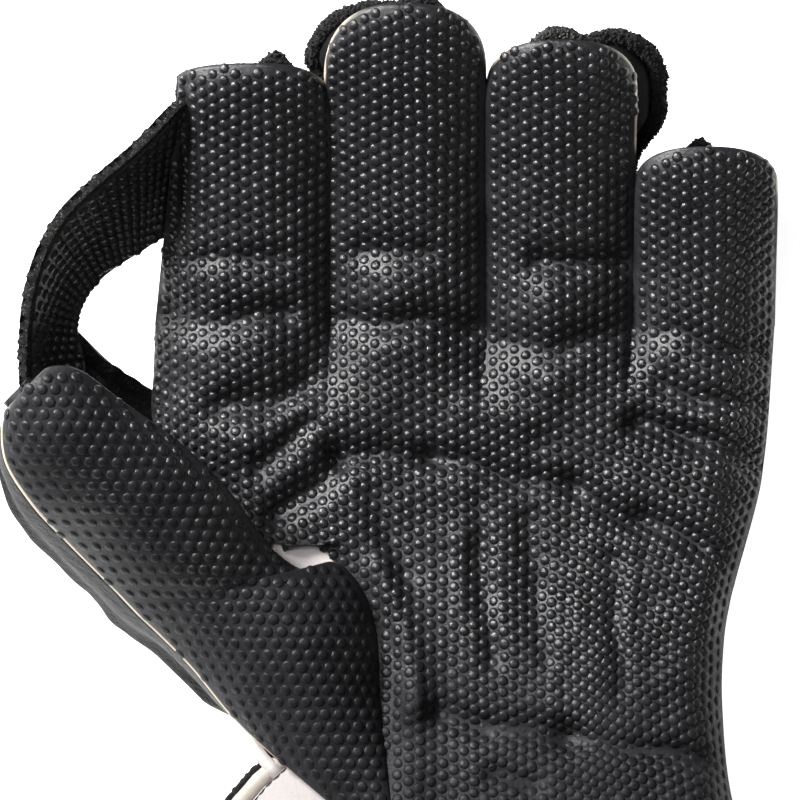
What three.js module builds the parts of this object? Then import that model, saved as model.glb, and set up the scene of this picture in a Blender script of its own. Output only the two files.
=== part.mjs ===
import * as THREE from 'three';

// A left-hand glove on its back, palm up, fingers towards +Y, thumb towards -X. All lengths in mm.

// Main sizes
const PALM_WIDTH = 144.4; // across the four finger roots
const HAND_LENGTH = 110; // finger roots to wrist
const FINGER_LENGTH = 75; // middle finger past its root
const PALM_DEPTH = 38; // floor to palm at the finger roots
const CUFF_LENGTH = 70; // wrist to the open mouth
const CUFF_DEPTH = 56; // height of the open mouth

// Walls
const RUBBER = 2.2;
const LEATHER = 1.6;
const PADDING = 4;
const BACK_PAD = 3;
const WEB_THICKNESS = 2.8;

// Fits
const FIT_GAP = 0.35; // between pieces that are sewn together
const SEAM_RISE = 1.8; // gusset above the padded back
const SLIT = 0.8; // between neighbouring finger tongues
const ROOT_CLEAR = 0.008; // share of a finger between its back and the back of the hand
const FOLD_GAP = 0.5; // between palm and thumb facings
const GUSSET_INSET = 1.6; // gusset wall behind the edge of the facing

// Edge trim
const ROLL_RADIUS = 1.9;
const BINDING_RADIUS = 1.1;
const RIM_WIDTH = 1.5;

// The padded back leans to one side over this share of the finger
const LEAN_SPAN = 0.12;

// Facing edges: the drop of the rubber from the crown of a finger to its side
const SIDE_DROP = 0.2 * PALM_DEPTH;
const OUTER_DROP = 0.26 * PALM_DEPTH;
const DROP_POWER = 2.4;

// Tables. X is a share of PALM_WIDTH from the middle of the finger roots, Y a share of HAND_LENGTH below
// the roots and up a share of PALM_DEPTH.

// Palm sheet from the finger roots to the wrist: left edge, right edge, heights at left, middle and right
const PALM_ROWS = [
  { leftX: -0.5, leftY: 0, rightX: 0.5, rightY: 0, leftUp: 1, midUp: 1, rightUp: 1 },
  { leftX: -0.503, leftY: 0.1, rightX: 0.495, rightY: 0.1, leftUp: 0.98, midUp: 0.95, rightUp: 1 },
  { leftX: -0.505, leftY: 0.191, rightX: 0.491, rightY: 0.182, leftUp: 0.96, midUp: 0.91, rightUp: 1 },
  { leftX: -0.479, leftY: 0.259, rightX: 0.486, rightY: 0.255, leftUp: 0.94, midUp: 0.88, rightUp: 1 },
  { leftX: -0.427, leftY: 0.323, rightX: 0.479, rightY: 0.327, leftUp: 0.93, midUp: 0.87, rightUp: 1 },
  { leftX: -0.378, leftY: 0.391, rightX: 0.468, rightY: 0.391, leftUp: 0.92, midUp: 0.86, rightUp: 0.99 },
  { leftX: -0.319, leftY: 0.453, rightX: 0.454, rightY: 0.459, leftUp: 0.9, midUp: 0.86, rightUp: 0.98 },
  { leftX: -0.245, leftY: 0.461, rightX: 0.444, rightY: 0.505, leftUp: 0.88, midUp: 0.86, rightUp: 0.97 },
  { leftX: -0.212, leftY: 0.488, rightX: 0.436, rightY: 0.545, leftUp: 0.87, midUp: 0.87, rightUp: 0.965 },
  { leftX: -0.17, leftY: 0.545, rightX: 0.429, rightY: 0.582, leftUp: 0.87, midUp: 0.88, rightUp: 0.96 },
  { leftX: -0.143, leftY: 0.641, rightX: 0.419, rightY: 0.664, leftUp: 0.87, midUp: 0.93, rightUp: 0.96 },
  { leftX: -0.136, leftY: 0.791, rightX: 0.416, rightY: 0.8, leftUp: 0.89, midUp: 0.98, rightUp: 0.97 },
  { leftX: -0.12, leftY: 0.991, rightX: 0.431, rightY: 0.995, leftUp: 0.95, midUp: 1.05, rightUp: 1 },
  { leftX: -0.115, leftY: 1.109, rightX: 0.477, rightY: 1.173, leftUp: 1, midUp: 1.1, rightUp: 1.05 },
];

// Thumb sheet from the wrist to the tip: left edge, right edge (the fold, the hole, then the free edge)
const THUMB_ROWS = [
  { leftX: -0.167, leftY: 1.059, leftUp: 0.95, crown: 0.03, rightX: -0.115, rightY: 1.109, rightUp: 1 },
  { leftX: -0.226, leftY: 1, leftUp: 0.82, crown: 0.08, rightX: -0.12, rightY: 0.991, rightUp: 0.95 },
  { leftX: -0.359, leftY: 0.85, leftUp: 0.76, crown: 0.24, rightX: -0.136, rightY: 0.791, rightUp: 0.89 },
  { leftX: -0.44, leftY: 0.725, leftUp: 0.76, crown: 0.37, rightX: -0.143, rightY: 0.641, rightUp: 0.87 },
  { leftX: -0.492, leftY: 0.655, leftUp: 0.79, crown: 0.39, rightX: -0.17, rightY: 0.545, rightUp: 0.87 },
  { leftX: -0.527, leftY: 0.611, leftUp: 0.84, crown: 0.37, rightX: -0.214, rightY: 0.497, rightUp: 0.9 },
  { leftX: -0.558, leftY: 0.568, leftUp: 0.89, crown: 0.34, rightX: -0.262, rightY: 0.512, rightUp: 1 },
  { leftX: -0.582, leftY: 0.535, leftUp: 0.95, crown: 0.32, rightX: -0.318, rightY: 0.457, rightUp: 1.13 },
  { leftX: -0.643, leftY: 0.453, leftUp: 1.11, crown: 0.28, rightX: -0.375, rightY: 0.351, rightUp: 1.32 },
  { leftX: -0.693, leftY: 0.382, leftUp: 1.29, crown: 0.26, rightX: -0.456, rightY: 0.245, rightUp: 1.47 },
  { leftX: -0.736, leftY: 0.293, leftUp: 1.47, crown: 0.24, rightX: -0.551, rightY: 0.155, rightUp: 1.61 },
  { leftX: -0.743, leftY: 0.214, leftUp: 1.61, crown: 0.16, rightX: -0.617, rightY: 0.091, rightUp: 1.7 },
  { leftX: -0.73, leftY: 0.168, leftUp: 1.68, crown: 0.09, rightX: -0.666, rightY: 0.085, rightUp: 1.74 },
  { leftX: -0.711, leftY: 0.144, leftUp: 1.71, crown: 0.03, rightX: -0.693, rightY: 0.119, rightUp: 1.74 },
];

// Back of the thumb, a row for each row of its facing from the third on: right end and height of the keel.
// follow is 1 where the right end stands under the thumb sheet.
const THUMB_BACK_ROWS = [
  { rightX: -0.33, rightY: 0.83, rightUp: 0.12, keel: 0.05, bulge: 0, follow: 0 },
  { rightX: -0.36, rightY: 0.7, rightUp: 0.1, keel: 0.04, bulge: 0.02, follow: 0 },
  { rightX: -0.38, rightY: 0.6, rightUp: 0.12, keel: 0.05, bulge: 0.045, follow: 0 },
  { rightX: -0.385, rightY: 0.53, rightUp: 0.3, keel: 0.1, bulge: 0.06, follow: 0 },
  { rightX: -0.385, rightY: 0.475, rightUp: 0.62, keel: 0.18, bulge: 0.065, follow: 0.3 },
  { rightX: -0.39, rightY: 0.42, rightUp: 0.98, keel: 0.27, bulge: 0.07, follow: 1 },
  { rightX: -0.43, rightY: 0.36, rightUp: 1.16, keel: 0.42, bulge: 0.07, follow: 1 },
  { rightX: -0.5, rightY: 0.26, rightUp: 1.34, keel: 0.6, bulge: 0.06, follow: 1 },
  { rightX: -0.585, rightY: 0.18, rightUp: 1.48, keel: 0.8, bulge: 0.035, follow: 1 },
  { rightX: -0.635, rightY: 0.13, rightUp: 1.58, keel: 1, bulge: 0.015, follow: 1 },
  { rightX: -0.675, rightY: 0.115, rightUp: 1.62, keel: 1.16, bulge: 0.01, follow: 1 },
  { rightX: -0.697, rightY: 0.13, rightUp: 1.63, keel: 1.3, bulge: 0.01, follow: 1 },
];

// Fingers. Lengths and shoulders are shares of FINGER_LENGTH; rise and keel are heights at the tip. The
// padded back leans aside by shift and reaches out by over and past the tip by top, as shares of
// PALM_WIDTH, from leanFrom along the finger.
const FINGERS = [
  {
    name: 'index', rootLeft: -0.5, rootRight: -0.217, tipLeft: -0.456, tipRight: -0.213, length: 0.812,
    leftShoulder: 0.045, rightShoulder: 0.133, rise: 0.55, keel: 0.78,
    shift: -0.006, over: 0.01, top: 0.012, leanFrom: 0.75,
  },
  {
    name: 'middle', rootLeft: -0.217, rootRight: 0.034, tipLeft: -0.229, tipRight: 0.03, length: 0.995,
    leftShoulder: 0.253, rightShoulder: 0.21, rise: 0.74, keel: 1.06,
    shift: -0.027, over: 0.012, top: 0.01, leanFrom: 0.71,
  },
  {
    name: 'ring', rootLeft: 0.034, rootRight: 0.271, tipLeft: 0.036, tipRight: 0.277, length: 0.884,
    leftShoulder: 0.16, rightShoulder: 0.16, rise: 0.64, keel: 0.9,
    shift: 0.034, over: 0.012, top: 0.022, leanFrom: 0.59,
  },
  {
    name: 'little', rootLeft: 0.271, rootRight: 0.5, tipLeft: 0.279, tipRight: 0.505, length: 0.556,
    leftShoulder: 0.12, rightShoulder: 0.13, rise: 0.36, keel: 0.5,
    shift: 0, over: 0.006, top: 0.008, leanFrom: 0.7,
  },
];

// Creases of the rubber: a straight valley each, deep and wide as shares of PALM_DEPTH
const CREASES = [
  { fromX: -0.472, fromY: -0.023, toX: -0.29, toY: -0.029, deep: 0.09, wide: 0.09 },
  { fromX: -0.435, fromY: -0.141, toX: -0.298, toY: -0.148, deep: 0.04, wide: 0.08 },
  { fromX: -0.193, fromY: -0.015, toX: 0.005, toY: -0.002, deep: 0.09, wide: 0.09 },
  { fromX: -0.169, fromY: -0.163, toX: -0.064, toY: -0.154, deep: 0.07, wide: 0.08 },
  { fromX: 0.121, fromY: -0.137, toX: 0.25, toY: -0.137, deep: 0.08, wide: 0.09 },
  { fromX: 0.065, fromY: 0.038, toX: 0.234, toY: 0.017, deep: 0.06, wide: 0.09 },
  { fromX: 0.333, fromY: 0.019, toX: 0.467, toY: 0.053, deep: 0.05, wide: 0.08 },
  { fromX: 0.317, fromY: 0.129, toX: 0.469, toY: 0.165, deep: 0.06, wide: 0.08 },
  { fromX: 0.282, fromY: 0.197, toX: 0.47, toY: 0.284, deep: 0.12, wide: 0.09 },
  { fromX: 0.29, fromY: 0.391, toX: 0.398, toY: 0.467, deep: 0.06, wide: 0.08 },
  { fromX: -0.386, fromY: 0.171, toX: -0.258, toY: 0.116, deep: 0.12, wide: 0.1 },
  { fromX: -0.327, fromY: 0.298, toX: -0.253, toY: 0.207, deep: 0.07, wide: 0.08 },
  { fromX: -0.295, fromY: 0.391, toX: -0.209, toY: 0.286, deep: 0.09, wide: 0.09 },
  { fromX: -0.209, fromY: 0.277, toX: -0.056, toY: 0.267, deep: 0.07, wide: 0.08 },
  { fromX: -0.056, fromY: 0.267, toX: 0.177, toY: 0.345, deep: 0.07, wide: 0.08 },
  { fromX: 0.177, fromY: 0.345, toX: 0.362, toY: 0.461, deep: 0.06, wide: 0.08 },
  { fromX: -0.04, fromY: 0.823, toX: 0.169, toY: 0.869, deep: 0.07, wide: 0.08 },
  { fromX: 0.169, fromY: 0.869, toX: 0.379, toY: 0.92, deep: 0.06, wide: 0.08 },
  { fromX: 0.016, fromY: 0.366, toX: 0.04, toY: 0.704, deep: 0.04, wide: 0.07 },
  { fromX: 0.102, fromY: 0.408, toX: 0.134, toY: 0.704, deep: 0.04, wide: 0.07 },
  { fromX: 0.237, fromY: 0.493, toX: 0.25, toY: 0.768, deep: 0.04, wide: 0.07 },
];

// Web band from the side of the index finger to the thumb: outer edge and inner edge
const WEB_ROWS = [
  { outX: -0.462, outY: -0.455, outUp: 1.37, inX: -0.49, inY: -0.186, inUp: 0.84 },
  { outX: -0.517, outY: -0.379, outUp: 1.45, inX: -0.52, inY: -0.161, inUp: 0.82 },
  { outX: -0.583, outY: -0.304, outUp: 1.5, inX: -0.558, inY: -0.13, inUp: 0.82 },
  { outX: -0.64, outY: -0.23, outUp: 1.5, inX: -0.589, inY: -0.097, inUp: 0.84 },
  { outX: -0.68, outY: -0.132, outUp: 1.45, inX: -0.614, inY: -0.05, inUp: 0.87 },
  { outX: -0.7, outY: -0.018, outUp: 1.32, inX: -0.624, inY: 0, inUp: 0.87 },
  { outX: -0.706, outY: 0.082, outUp: 1.13, inX: -0.613, inY: 0.068, inUp: 0.84 },
  { outX: -0.705, outY: 0.182, outUp: 0.97, inX: -0.61, inY: 0.145, inUp: 0.82 },
];

// Strip at the foot of the web: upper edge and lower edge, from the web to the index root
const STRIP_ROWS = [
  { outX: -0.6, outY: 0.035, outUp: 0.78, inX: -0.6, inY: 0.16, inUp: 0.7 },
  { outX: -0.583, outY: 0.062, outUp: 0.76, inX: -0.585, inY: 0.19, inUp: 0.68 },
  { outX: -0.547, outY: 0.1, outUp: 0.68, inX: -0.55, inY: 0.22, inUp: 0.6 },
  { outX: -0.502, outY: 0.135, outUp: 0.56, inX: -0.505, inY: 0.25, inUp: 0.5 },
];

// Back of the hand, a row for each row of the palm sheet: left edge of the white panel and the height of
// its wall there. follow is 1 where that wall stands under the edge of the palm sheet.
const HAND_BACK_ROWS = [
  { leftX: -0.49, leftY: 0, leftUp: 0.6, follow: 1 },
  { leftX: -0.49, leftY: 0.1, leftUp: 0.6, follow: 1 },
  { leftX: -0.49, leftY: 0.19, leftUp: 0.6, follow: 1 },
  { leftX: -0.465, leftY: 0.265, leftUp: 0.6, follow: 1 },
  { leftX: -0.41, leftY: 0.335, leftUp: 0.6, follow: 0.5 },
  { leftX: -0.37, leftY: 0.4, leftUp: 0.5, follow: 0 },
  { leftX: -0.355, leftY: 0.46, leftUp: 0.2, follow: 0 },
  { leftX: -0.355, leftY: 0.51, leftUp: 0.12, follow: 0 },
  { leftX: -0.355, leftY: 0.55, leftUp: 0.1, follow: 0 },
  { leftX: -0.35, leftY: 0.6, leftUp: 0.09, follow: 0 },
  { leftX: -0.335, leftY: 0.68, leftUp: 0.08, follow: 0 },
  { leftX: -0.31, leftY: 0.8, leftUp: 0.1, follow: 0 },
  { leftX: -0.345, leftY: 0.97, leftUp: 0.9, follow: 0 },
];

// Cuff: share of the way from its top corner to the mouth, and its two edges
const CUFF_ROWS = [
  { at: 0, leftX: -0.284, leftUp: 0.6, rightX: 0.41, rightUp: 0.62 },
  { at: 0.06, leftX: -0.303, leftUp: 0.62, rightX: 0.413, rightUp: 0.64 },
  { at: 0.13, leftX: -0.337, leftUp: 0.64, rightX: 0.42, rightUp: 0.66 },
  { at: 0.26, leftX: -0.38, leftUp: 0.68, rightX: 0.44, rightUp: 0.7 },
  { at: 0.5, leftX: -0.41, leftUp: 0.78, rightX: 0.476, rightUp: 0.8 },
  { at: 0.75, leftX: -0.425, leftUp: 0.88, rightX: 0.492, rightUp: 0.88 },
  { at: 1, leftX: -0.43, leftUp: 0.95, rightX: 0.5, rightUp: 0.95 },
];

// Top edge of the cuff's front, just under the rubber's end, from its left corner to the right edge
const CUFF_TOP = [
  { x: -0.279, y: 0.962, up: 0.7 },
  { x: -0.25, y: 0.991, up: 0.74 },
  { x: -0.205, y: 1.03, up: 0.8 },
  { x: -0.163, y: 1.072, up: 0.88 },
  { x: -0.11, y: 1.12, up: 0.96 },
  { x: 0.1, y: 1.141, up: 1.08 },
  { x: 0.311, y: 1.164, up: 1.08 },
  { x: 0.462, y: 1.181, up: 0.83 },
];

// Gusset of the thumb's crotch, behind the eye-shaped hole
const CROTCH = { midX: -0.262, midY: 0.485, halfX: 0.085, halfY: 0.062, up: 0.79, sag: 0.07 };

// Where the parts of the sheets begin and end, counted in table rows
const INNER_FADE_ROWS = 2.2;
const HAND_BACK_START = 0.05;
const HAND_BACK_END = 11.5;
const LEFT_FADE_START = 3;
const LEFT_FADE_ROWS = 3;

// Mesh steps
const FINGER_COLUMNS = 8;
const FINGER_STEPS = 9;
const PALM_STEPS = 23;
const THUMB_COLUMNS = 8;
const THUMB_STEPS = 20;
const TROUGH_COLUMNS = 12;

const clamp = (value, low, high) => Math.min(Math.max(value, low), high);
const mix = (a, b, t) => a + (b - a) * t;

function smooth(t) {
  const s = clamp(t, 0, 1);
  return s * s * (3 - 2 * s);
}

// Value between b and c on a smooth curve through a, b, c and d
function curve(a, b, c, d, t) {
  const inner = 2 * a - 5 * b + 4 * c - d;
  const outer = 3 * b - a - 3 * c + d;
  return b + 0.5 * t * (c - a + t * (inner + t * outer));
}

// All columns of a table at a row that may be a fraction
function rowAt(table, row) {
  const last = table.length - 1;
  const index = clamp(Math.floor(row), 0, last - 1);
  const near = [-1, 0, 1, 2].map((step) => table[clamp(index + step, 0, last)]);
  const found = {};
  for (const key of Object.keys(table[0])) {
    found[key] = curve(near[0][key], near[1][key], near[2][key], near[3][key], row - index);
  }
  return found;
}

const placeX = (share) => share * PALM_WIDTH;
const placeY = (share) => -share * HAND_LENGTH;
const placeZ = (share) => share * PALM_DEPTH;
const place = (x, y, up) => new THREE.Vector3(placeX(x), placeY(y), placeZ(up));

// Depth of the creases at a place on the plan
function creaseDepth(x, y) {
  let depth = 0;
  for (const crease of CREASES) {
    const ax = placeX(crease.fromX);
    const ay = placeY(crease.fromY);
    const dx = placeX(crease.toX) - ax;
    const dy = placeY(crease.toY) - ay;
    const along = clamp(((x - ax) * dx + (y - ay) * dy) / (dx * dx + dy * dy), 0, 1);
    const away = Math.hypot(x - ax - along * dx, y - ay - along * dy) / placeZ(crease.wide);
    depth += placeZ(crease.deep) * Math.exp(-away * away);
  }
  return depth;
}

// Skin of one thickness under the outer points, with walls round every free edge. A cell lists its
// corners anticlockwise as seen from outside. steer may turn the directions that the skin goes inwards by.
function skin(outer, cells, thickness, steer = (normal) => normal) {
  const normals = outer.map(() => new THREE.Vector3());
  for (const [a, b, c, d] of cells) {
    const across = outer[c].clone().sub(outer[a]);
    const normal = across.cross(outer[d].clone().sub(outer[b]));
    for (const corner of [a, b, c, d]) {
      normals[corner].add(normal);
    }
  }
  const inner = outer.map((point, index) => {
    return point.clone().addScaledVector(steer(normals[index], index).normalize(), -thickness);
  });
  return closedSkin(outer, inner, cells);
}

// Closed body between two sheets of matching points
function closedSkin(outer, inner, cells) {
  const count = outer.length;
  const faces = [];
  const edges = new Map();
  for (const [a, b, c, d] of cells) {
    faces.push(a, b, c, a, c, d);
    faces.push(a + count, c + count, b + count, a + count, d + count, c + count);
    for (const [from, to] of [[a, b], [b, c], [c, d], [d, a]]) {
      if (!edges.delete(`${to} ${from}`)) {
        edges.set(`${from} ${to}`, [from, to]);
      }
    }
  }
  for (const [from, to] of edges.values()) {
    faces.push(to, from, from + count, to, from + count, to + count);
  }
  const geometry = new THREE.BufferGeometry();
  const points = [...outer, ...inner].flatMap((point) => [point.x, point.y, point.z]);
  geometry.setAttribute('position', new THREE.Float32BufferAttribute(points, 3));
  geometry.setIndex(faces);
  geometry.computeVertexNormals();
  return geometry;
}

// Cells of a full grid, rows by columns
function gridCells(rows, columns, flip) {
  const cells = [];
  for (let row = 0; row < rows; row += 1) {
    for (let column = 0; column < columns; column += 1) {
      const a = row * (columns + 1) + column;
      const cell = [a, a + 1, a + columns + 2, a + columns + 1];
      cells.push(flip ? cell.reverse() : cell);
    }
  }
  return cells;
}

// Skin over a surface given as a function of two shares
function surfaceSkin(rows, columns, pointAt, thickness, flip, steer) {
  const outer = [];
  for (let row = 0; row <= rows; row += 1) {
    for (let column = 0; column <= columns; column += 1) {
      outer.push(pointAt(column / columns, row / rows));
    }
  }
  return skin(outer, gridCells(rows, columns, flip), thickness, steer);
}

const levelled = (normal) => normal.setZ(0);
const upright = (normal) => normal.set(0, 0, 1);

// Levels the directions on the two side rims of a grid, and on its last row where that is a rim too
function levelRims(columns, endRow) {
  return (normal, index) => {
    const onSide = (index % (columns + 1)) % columns === 0;
    return onSide || index >= endRow * (columns + 1) ? levelled(normal) : normal;
  };
}

// Side position -1 to 1 of a finger column, closer together near the sides
const sidePosition = (share) => Math.sin((share - 0.5) * Math.PI);

// Plan of a finger. side runs -1 to 1 across, along 0 to 1 from root to tip, inset moves the edge in.
function fingerPlan(finger, side, along, inset) {
  const shoulder = side < 0 ? finger.leftShoulder : finger.rightShoulder;
  const fullness = (1 - Math.abs(side) ** 2.5) ** (1 / 2.5);
  const reach = finger.length * FINGER_LENGTH - inset;
  const end = reach - shoulder * FINGER_LENGTH * (1 - fullness);
  const y = end * along;
  const share = y / (finger.length * FINGER_LENGTH);
  const left = placeX(mix(finger.rootLeft, finger.tipLeft, share)) + inset;
  const right = placeX(mix(finger.rootRight, finger.tipRight, share)) - inset;
  return { x: mix(left, right, (side + 1) / 2), y, share };
}

// Height of the crown of a finger, curling up towards the tip
function fingerCrown(finger, share) {
  return PALM_DEPTH * (1 + finger.rise * (0.35 * share + 0.65 * share * share));
}

// Height of the rubber over a finger
function fingerTop(finger, side, share, x, y) {
  const outer = (finger.name === 'index' && side < 0) || (finger.name === 'little' && side > 0);
  const drop = mix(outer ? OUTER_DROP : SIDE_DROP, 0.6 * SIDE_DROP, smooth(share));
  return fingerCrown(finger, share) - drop * Math.abs(side) ** DROP_POWER - creaseDepth(x, y);
}

function facingFingerPoint(finger, side, along) {
  const inset = 0.5 * SLIT * Math.min(1, along * FINGER_STEPS);
  const plan = fingerPlan(finger, side, along, inset);
  return new THREE.Vector3(plan.x, plan.y, fingerTop(finger, side, plan.share, plan.x, plan.y));
}

// Height through three values at the left, middle and right
function bowl(left, middle, right, share) {
  const leftPart = left * (1 - share) * (1 - 2 * share);
  const middlePart = middle * 4 * share * (1 - share);
  return leftPart + middlePart + right * share * (2 * share - 1);
}

// Height lost at the sides of the finger roots, running out into the palm
function rootDrop(share, row) {
  const finger = FINGERS.find((each) => share <= each.rootRight + 0.5) ?? FINGERS[FINGERS.length - 1];
  const side = (2 * (share - 0.5 - finger.rootLeft)) / (finger.rootRight - finger.rootLeft) - 1;
  const shape = Math.abs(side) ** DROP_POWER;
  if (finger.name === 'little' && side > 0) {
    return OUTER_DROP * shape;
  }
  if (finger.name === 'index' && side < 0) {
    return OUTER_DROP * shape * (1 - smooth((row - LEFT_FADE_START) / LEFT_FADE_ROWS));
  }
  return SIDE_DROP * shape * (1 - smooth(row / INNER_FADE_ROWS));
}

// Palm sheet at a share across and a table row down
function palmPoint(share, row) {
  const rails = rowAt(PALM_ROWS, row);
  const x = placeX(mix(rails.leftX, rails.rightX, share));
  const y = placeY(mix(rails.leftY, rails.rightY, share));
  const up = placeZ(bowl(rails.leftUp, rails.midUp, rails.rightUp, share));
  return new THREE.Vector3(x, y, up - rootDrop(share, row) - creaseDepth(x, y));
}

// One sheet: the palm, and four tongues that share its first row of points
function palmFacing() {
  const points = [];
  const cells = [];
  const columns = FINGERS.length * FINGER_COLUMNS;
  const shares = [];
  for (const finger of FINGERS) {
    for (let column = 0; column < FINGER_COLUMNS; column += 1) {
      const side = (sidePosition(column / FINGER_COLUMNS) + 1) / 2;
      shares.push(mix(finger.rootLeft, finger.rootRight, side) + 0.5);
    }
  }
  shares.push(1);
  for (let row = 0; row <= PALM_STEPS; row += 1) {
    for (const share of shares) {
      points.push(palmPoint(share, (row / PALM_STEPS) * (PALM_ROWS.length - 1)));
    }
  }
  cells.push(...gridCells(PALM_STEPS, columns, true));
  FINGERS.forEach((finger, order) => {
    let below = shares.slice(0, FINGER_COLUMNS + 1).map((_, column) => order * FINGER_COLUMNS + column);
    for (let step = 1; step <= FINGER_STEPS; step += 1) {
      const above = [];
      for (let column = 0; column <= FINGER_COLUMNS; column += 1) {
        above.push(points.length);
        points.push(facingFingerPoint(finger, sidePosition(column / FINGER_COLUMNS), step / FINGER_STEPS));
      }
      for (let column = 0; column < FINGER_COLUMNS; column += 1) {
        cells.push([below[column], below[column + 1], above[column + 1], above[column]]);
      }
      below = above;
    }
  });
  return skin(points, cells, RUBBER);
}

// Thumb sheet at a share across and a table row up
function thumbPoint(share, row) {
  const rails = rowAt(THUMB_ROWS, row);
  const x = placeX(mix(rails.leftX, rails.rightX, share)) - FOLD_GAP * share;
  const y = placeY(mix(rails.leftY, rails.rightY, share));
  const arch = (4 * share * (1 - share)) ** 0.75;
  return new THREE.Vector3(x, y, placeZ(mix(rails.leftUp, rails.rightUp, share) + rails.crown * arch));
}

function thumbFacing() {
  const last = THUMB_ROWS.length - 1;
  const pointAt = (u, v) => thumbPoint((sidePosition(u) + 1) / 2, v * last);
  return surfaceSkin(THUMB_STEPS, THUMB_COLUMNS, pointAt, RUBBER, false);
}

// Trough between two rims: share 0 and 1 are the rims, the middle is the floor or keel
function trough(left, right, floor, share, squareness) {
  const turn = Math.cos(Math.PI * share);
  const across = 0.5 * (1 - Math.sign(turn) * Math.abs(turn) ** (2 / squareness));
  const lift = 1 - Math.sin(Math.PI * share) ** (2 / squareness);
  const rim = share < 0.5 ? left.z : right.z;
  const x = mix(left.x, right.x, across);
  const y = mix(left.y, right.y, across);
  return new THREE.Vector3(x, y, mix(floor, rim, lift));
}

const HEIGHT_OF_RIM = 0.5; // share of the way from the keel to the rubber's edge
const THUMB_TUCK = 1.25; // the same above the back of the thumb
const THUMB_WALL = 0.85; // share across the thumb sheet where its right wall stands
const RIM_TUCK = 1.4; // the same above the back of the hand
const GUSSET_TUCK = 1.7; // thicknesses of sloping rubber above the gusset's edge

// Plan of the gusset and of the padded back, which leans to one side towards the tip
function backPlan(finger, side, along, inset) {
  const plan = fingerPlan(finger, side, along, inset);
  const lean = smooth((plan.share - finger.leanFrom) / LEAN_SPAN);
  const x = plan.x + placeX(finger.shift) * lean + placeX(finger.over) * lean * side;
  const y = plan.y + placeX(finger.top) * lean * along;
  return { x, y, share: plan.share };
}

// Height where gusset and padded back meet
function seamHeight(finger, share) {
  const keel = placeZ(finger.keel) * share * share;
  return mix(keel, fingerCrown(finger, share) - SIDE_DROP, HEIGHT_OF_RIM);
}

// Stations along a finger's back, closer together towards the tip
const stationAlong = (share) => mix(ROOT_CLEAR, 1, Math.sin(0.5 * Math.PI * share));

// Padded back: keel rising to the tip, sides and tip turned up to the seam
function fingerBack(finger) {
  const pointAt = (u, v) => {
    const side = sidePosition(u);
    const along = stationAlong(v);
    const plan = backPlan(finger, side, along, GUSSET_INSET);
    const keel = placeZ(finger.keel) * plan.share * plan.share;
    const lift = 1 - (1 - Math.abs(side) ** 3.5) * (1 - along ** 12);
    return new THREE.Vector3(plan.x, plan.y, mix(keel, seamHeight(finger, plan.share) - FIT_GAP, lift));
  };
  const steer = levelRims(FINGER_COLUMNS, FINGER_STEPS);
  return surfaceSkin(FINGER_STEPS, FINGER_COLUMNS, pointAt, PADDING, true, steer);
}

// Gusset: a wall from the seam up to the underside of the rubber, up one side, round the tip and down
function fingerGusset(finger) {
  const stations = [];
  for (let step = 0; step < FINGER_STEPS; step += 1) {
    stations.push([-1, stationAlong(step / FINGER_STEPS)]);
  }
  for (let column = 0; column <= FINGER_COLUMNS; column += 1) {
    stations.push([sidePosition(column / FINGER_COLUMNS), 1]);
  }
  for (let step = FINGER_STEPS - 1; step >= 0; step -= 1) {
    stations.push([1, stationAlong(step / FINGER_STEPS)]);
  }
  const points = [];
  for (const [side, along] of stations) {
    const low = backPlan(finger, side, along, GUSSET_INSET);
    const high = fingerPlan(finger, side, along, GUSSET_INSET);
    const under = fingerTop(finger, side, high.share, high.x, high.y) - GUSSET_TUCK * RUBBER - FIT_GAP;
    points.push(new THREE.Vector3(low.x, low.y, seamHeight(finger, low.share) + SEAM_RISE));
    points.push(new THREE.Vector3(high.x, high.y, under));
  }
  return skin(points, gridCells(stations.length - 1, 1, false), LEATHER, levelled);
}

// Back of the thumb from the wrist end to the tip, from under the left edge round to the right
function thumbBack() {
  const last = THUMB_BACK_ROWS.length - 1;
  const pointAt = (u, v) => {
    const row = v * last;
    const facing = rowAt(THUMB_ROWS, row + 2);
    const rails = rowAt(THUMB_BACK_ROWS, row);
    const left = place(facing.leftX, facing.leftY, facing.leftUp);
    left.z -= THUMB_TUCK * RUBBER + FIT_GAP;
    const right = place(rails.rightX, rails.rightY, rails.rightUp);
    const under = thumbPoint(THUMB_WALL, row + 2);
    under.z -= THUMB_TUCK * RUBBER + FIT_GAP;
    right.lerp(under, clamp(rails.follow, 0, 1));
    const point = trough(left, right, placeZ(rails.keel), u, 2.6);
    const out = left.clone().sub(right).setZ(0).normalize();
    const pleat = 0.02 * Math.cos(6 * Math.PI * u) * Math.sin(Math.PI * u);
    return point.addScaledVector(out, placeX(rails.bulge * Math.sin(Math.PI * Math.min(1, 1.6 * u)) + pleat));
  };
  return surfaceSkin(THUMB_STEPS, TROUGH_COLUMNS, pointAt, LEATHER, true);
}

// Puts a point that is under the floor on it: leather lies flat where it rests
function rest(point) {
  point.z = Math.max(0, point.z);
  return point;
}

const SINK = 0.02; // share of PALM_DEPTH that a round bottom is pressed flat

// Rim of a wall that stands under the edge of the palm sheet
function underPalm(share, row) {
  const edge = palmPoint(share, row);
  edge.x += share < 0.5 ? GUSSET_INSET : -GUSSET_INSET;
  edge.z -= RIM_TUCK * RUBBER + FIT_GAP;
  return edge;
}

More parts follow.
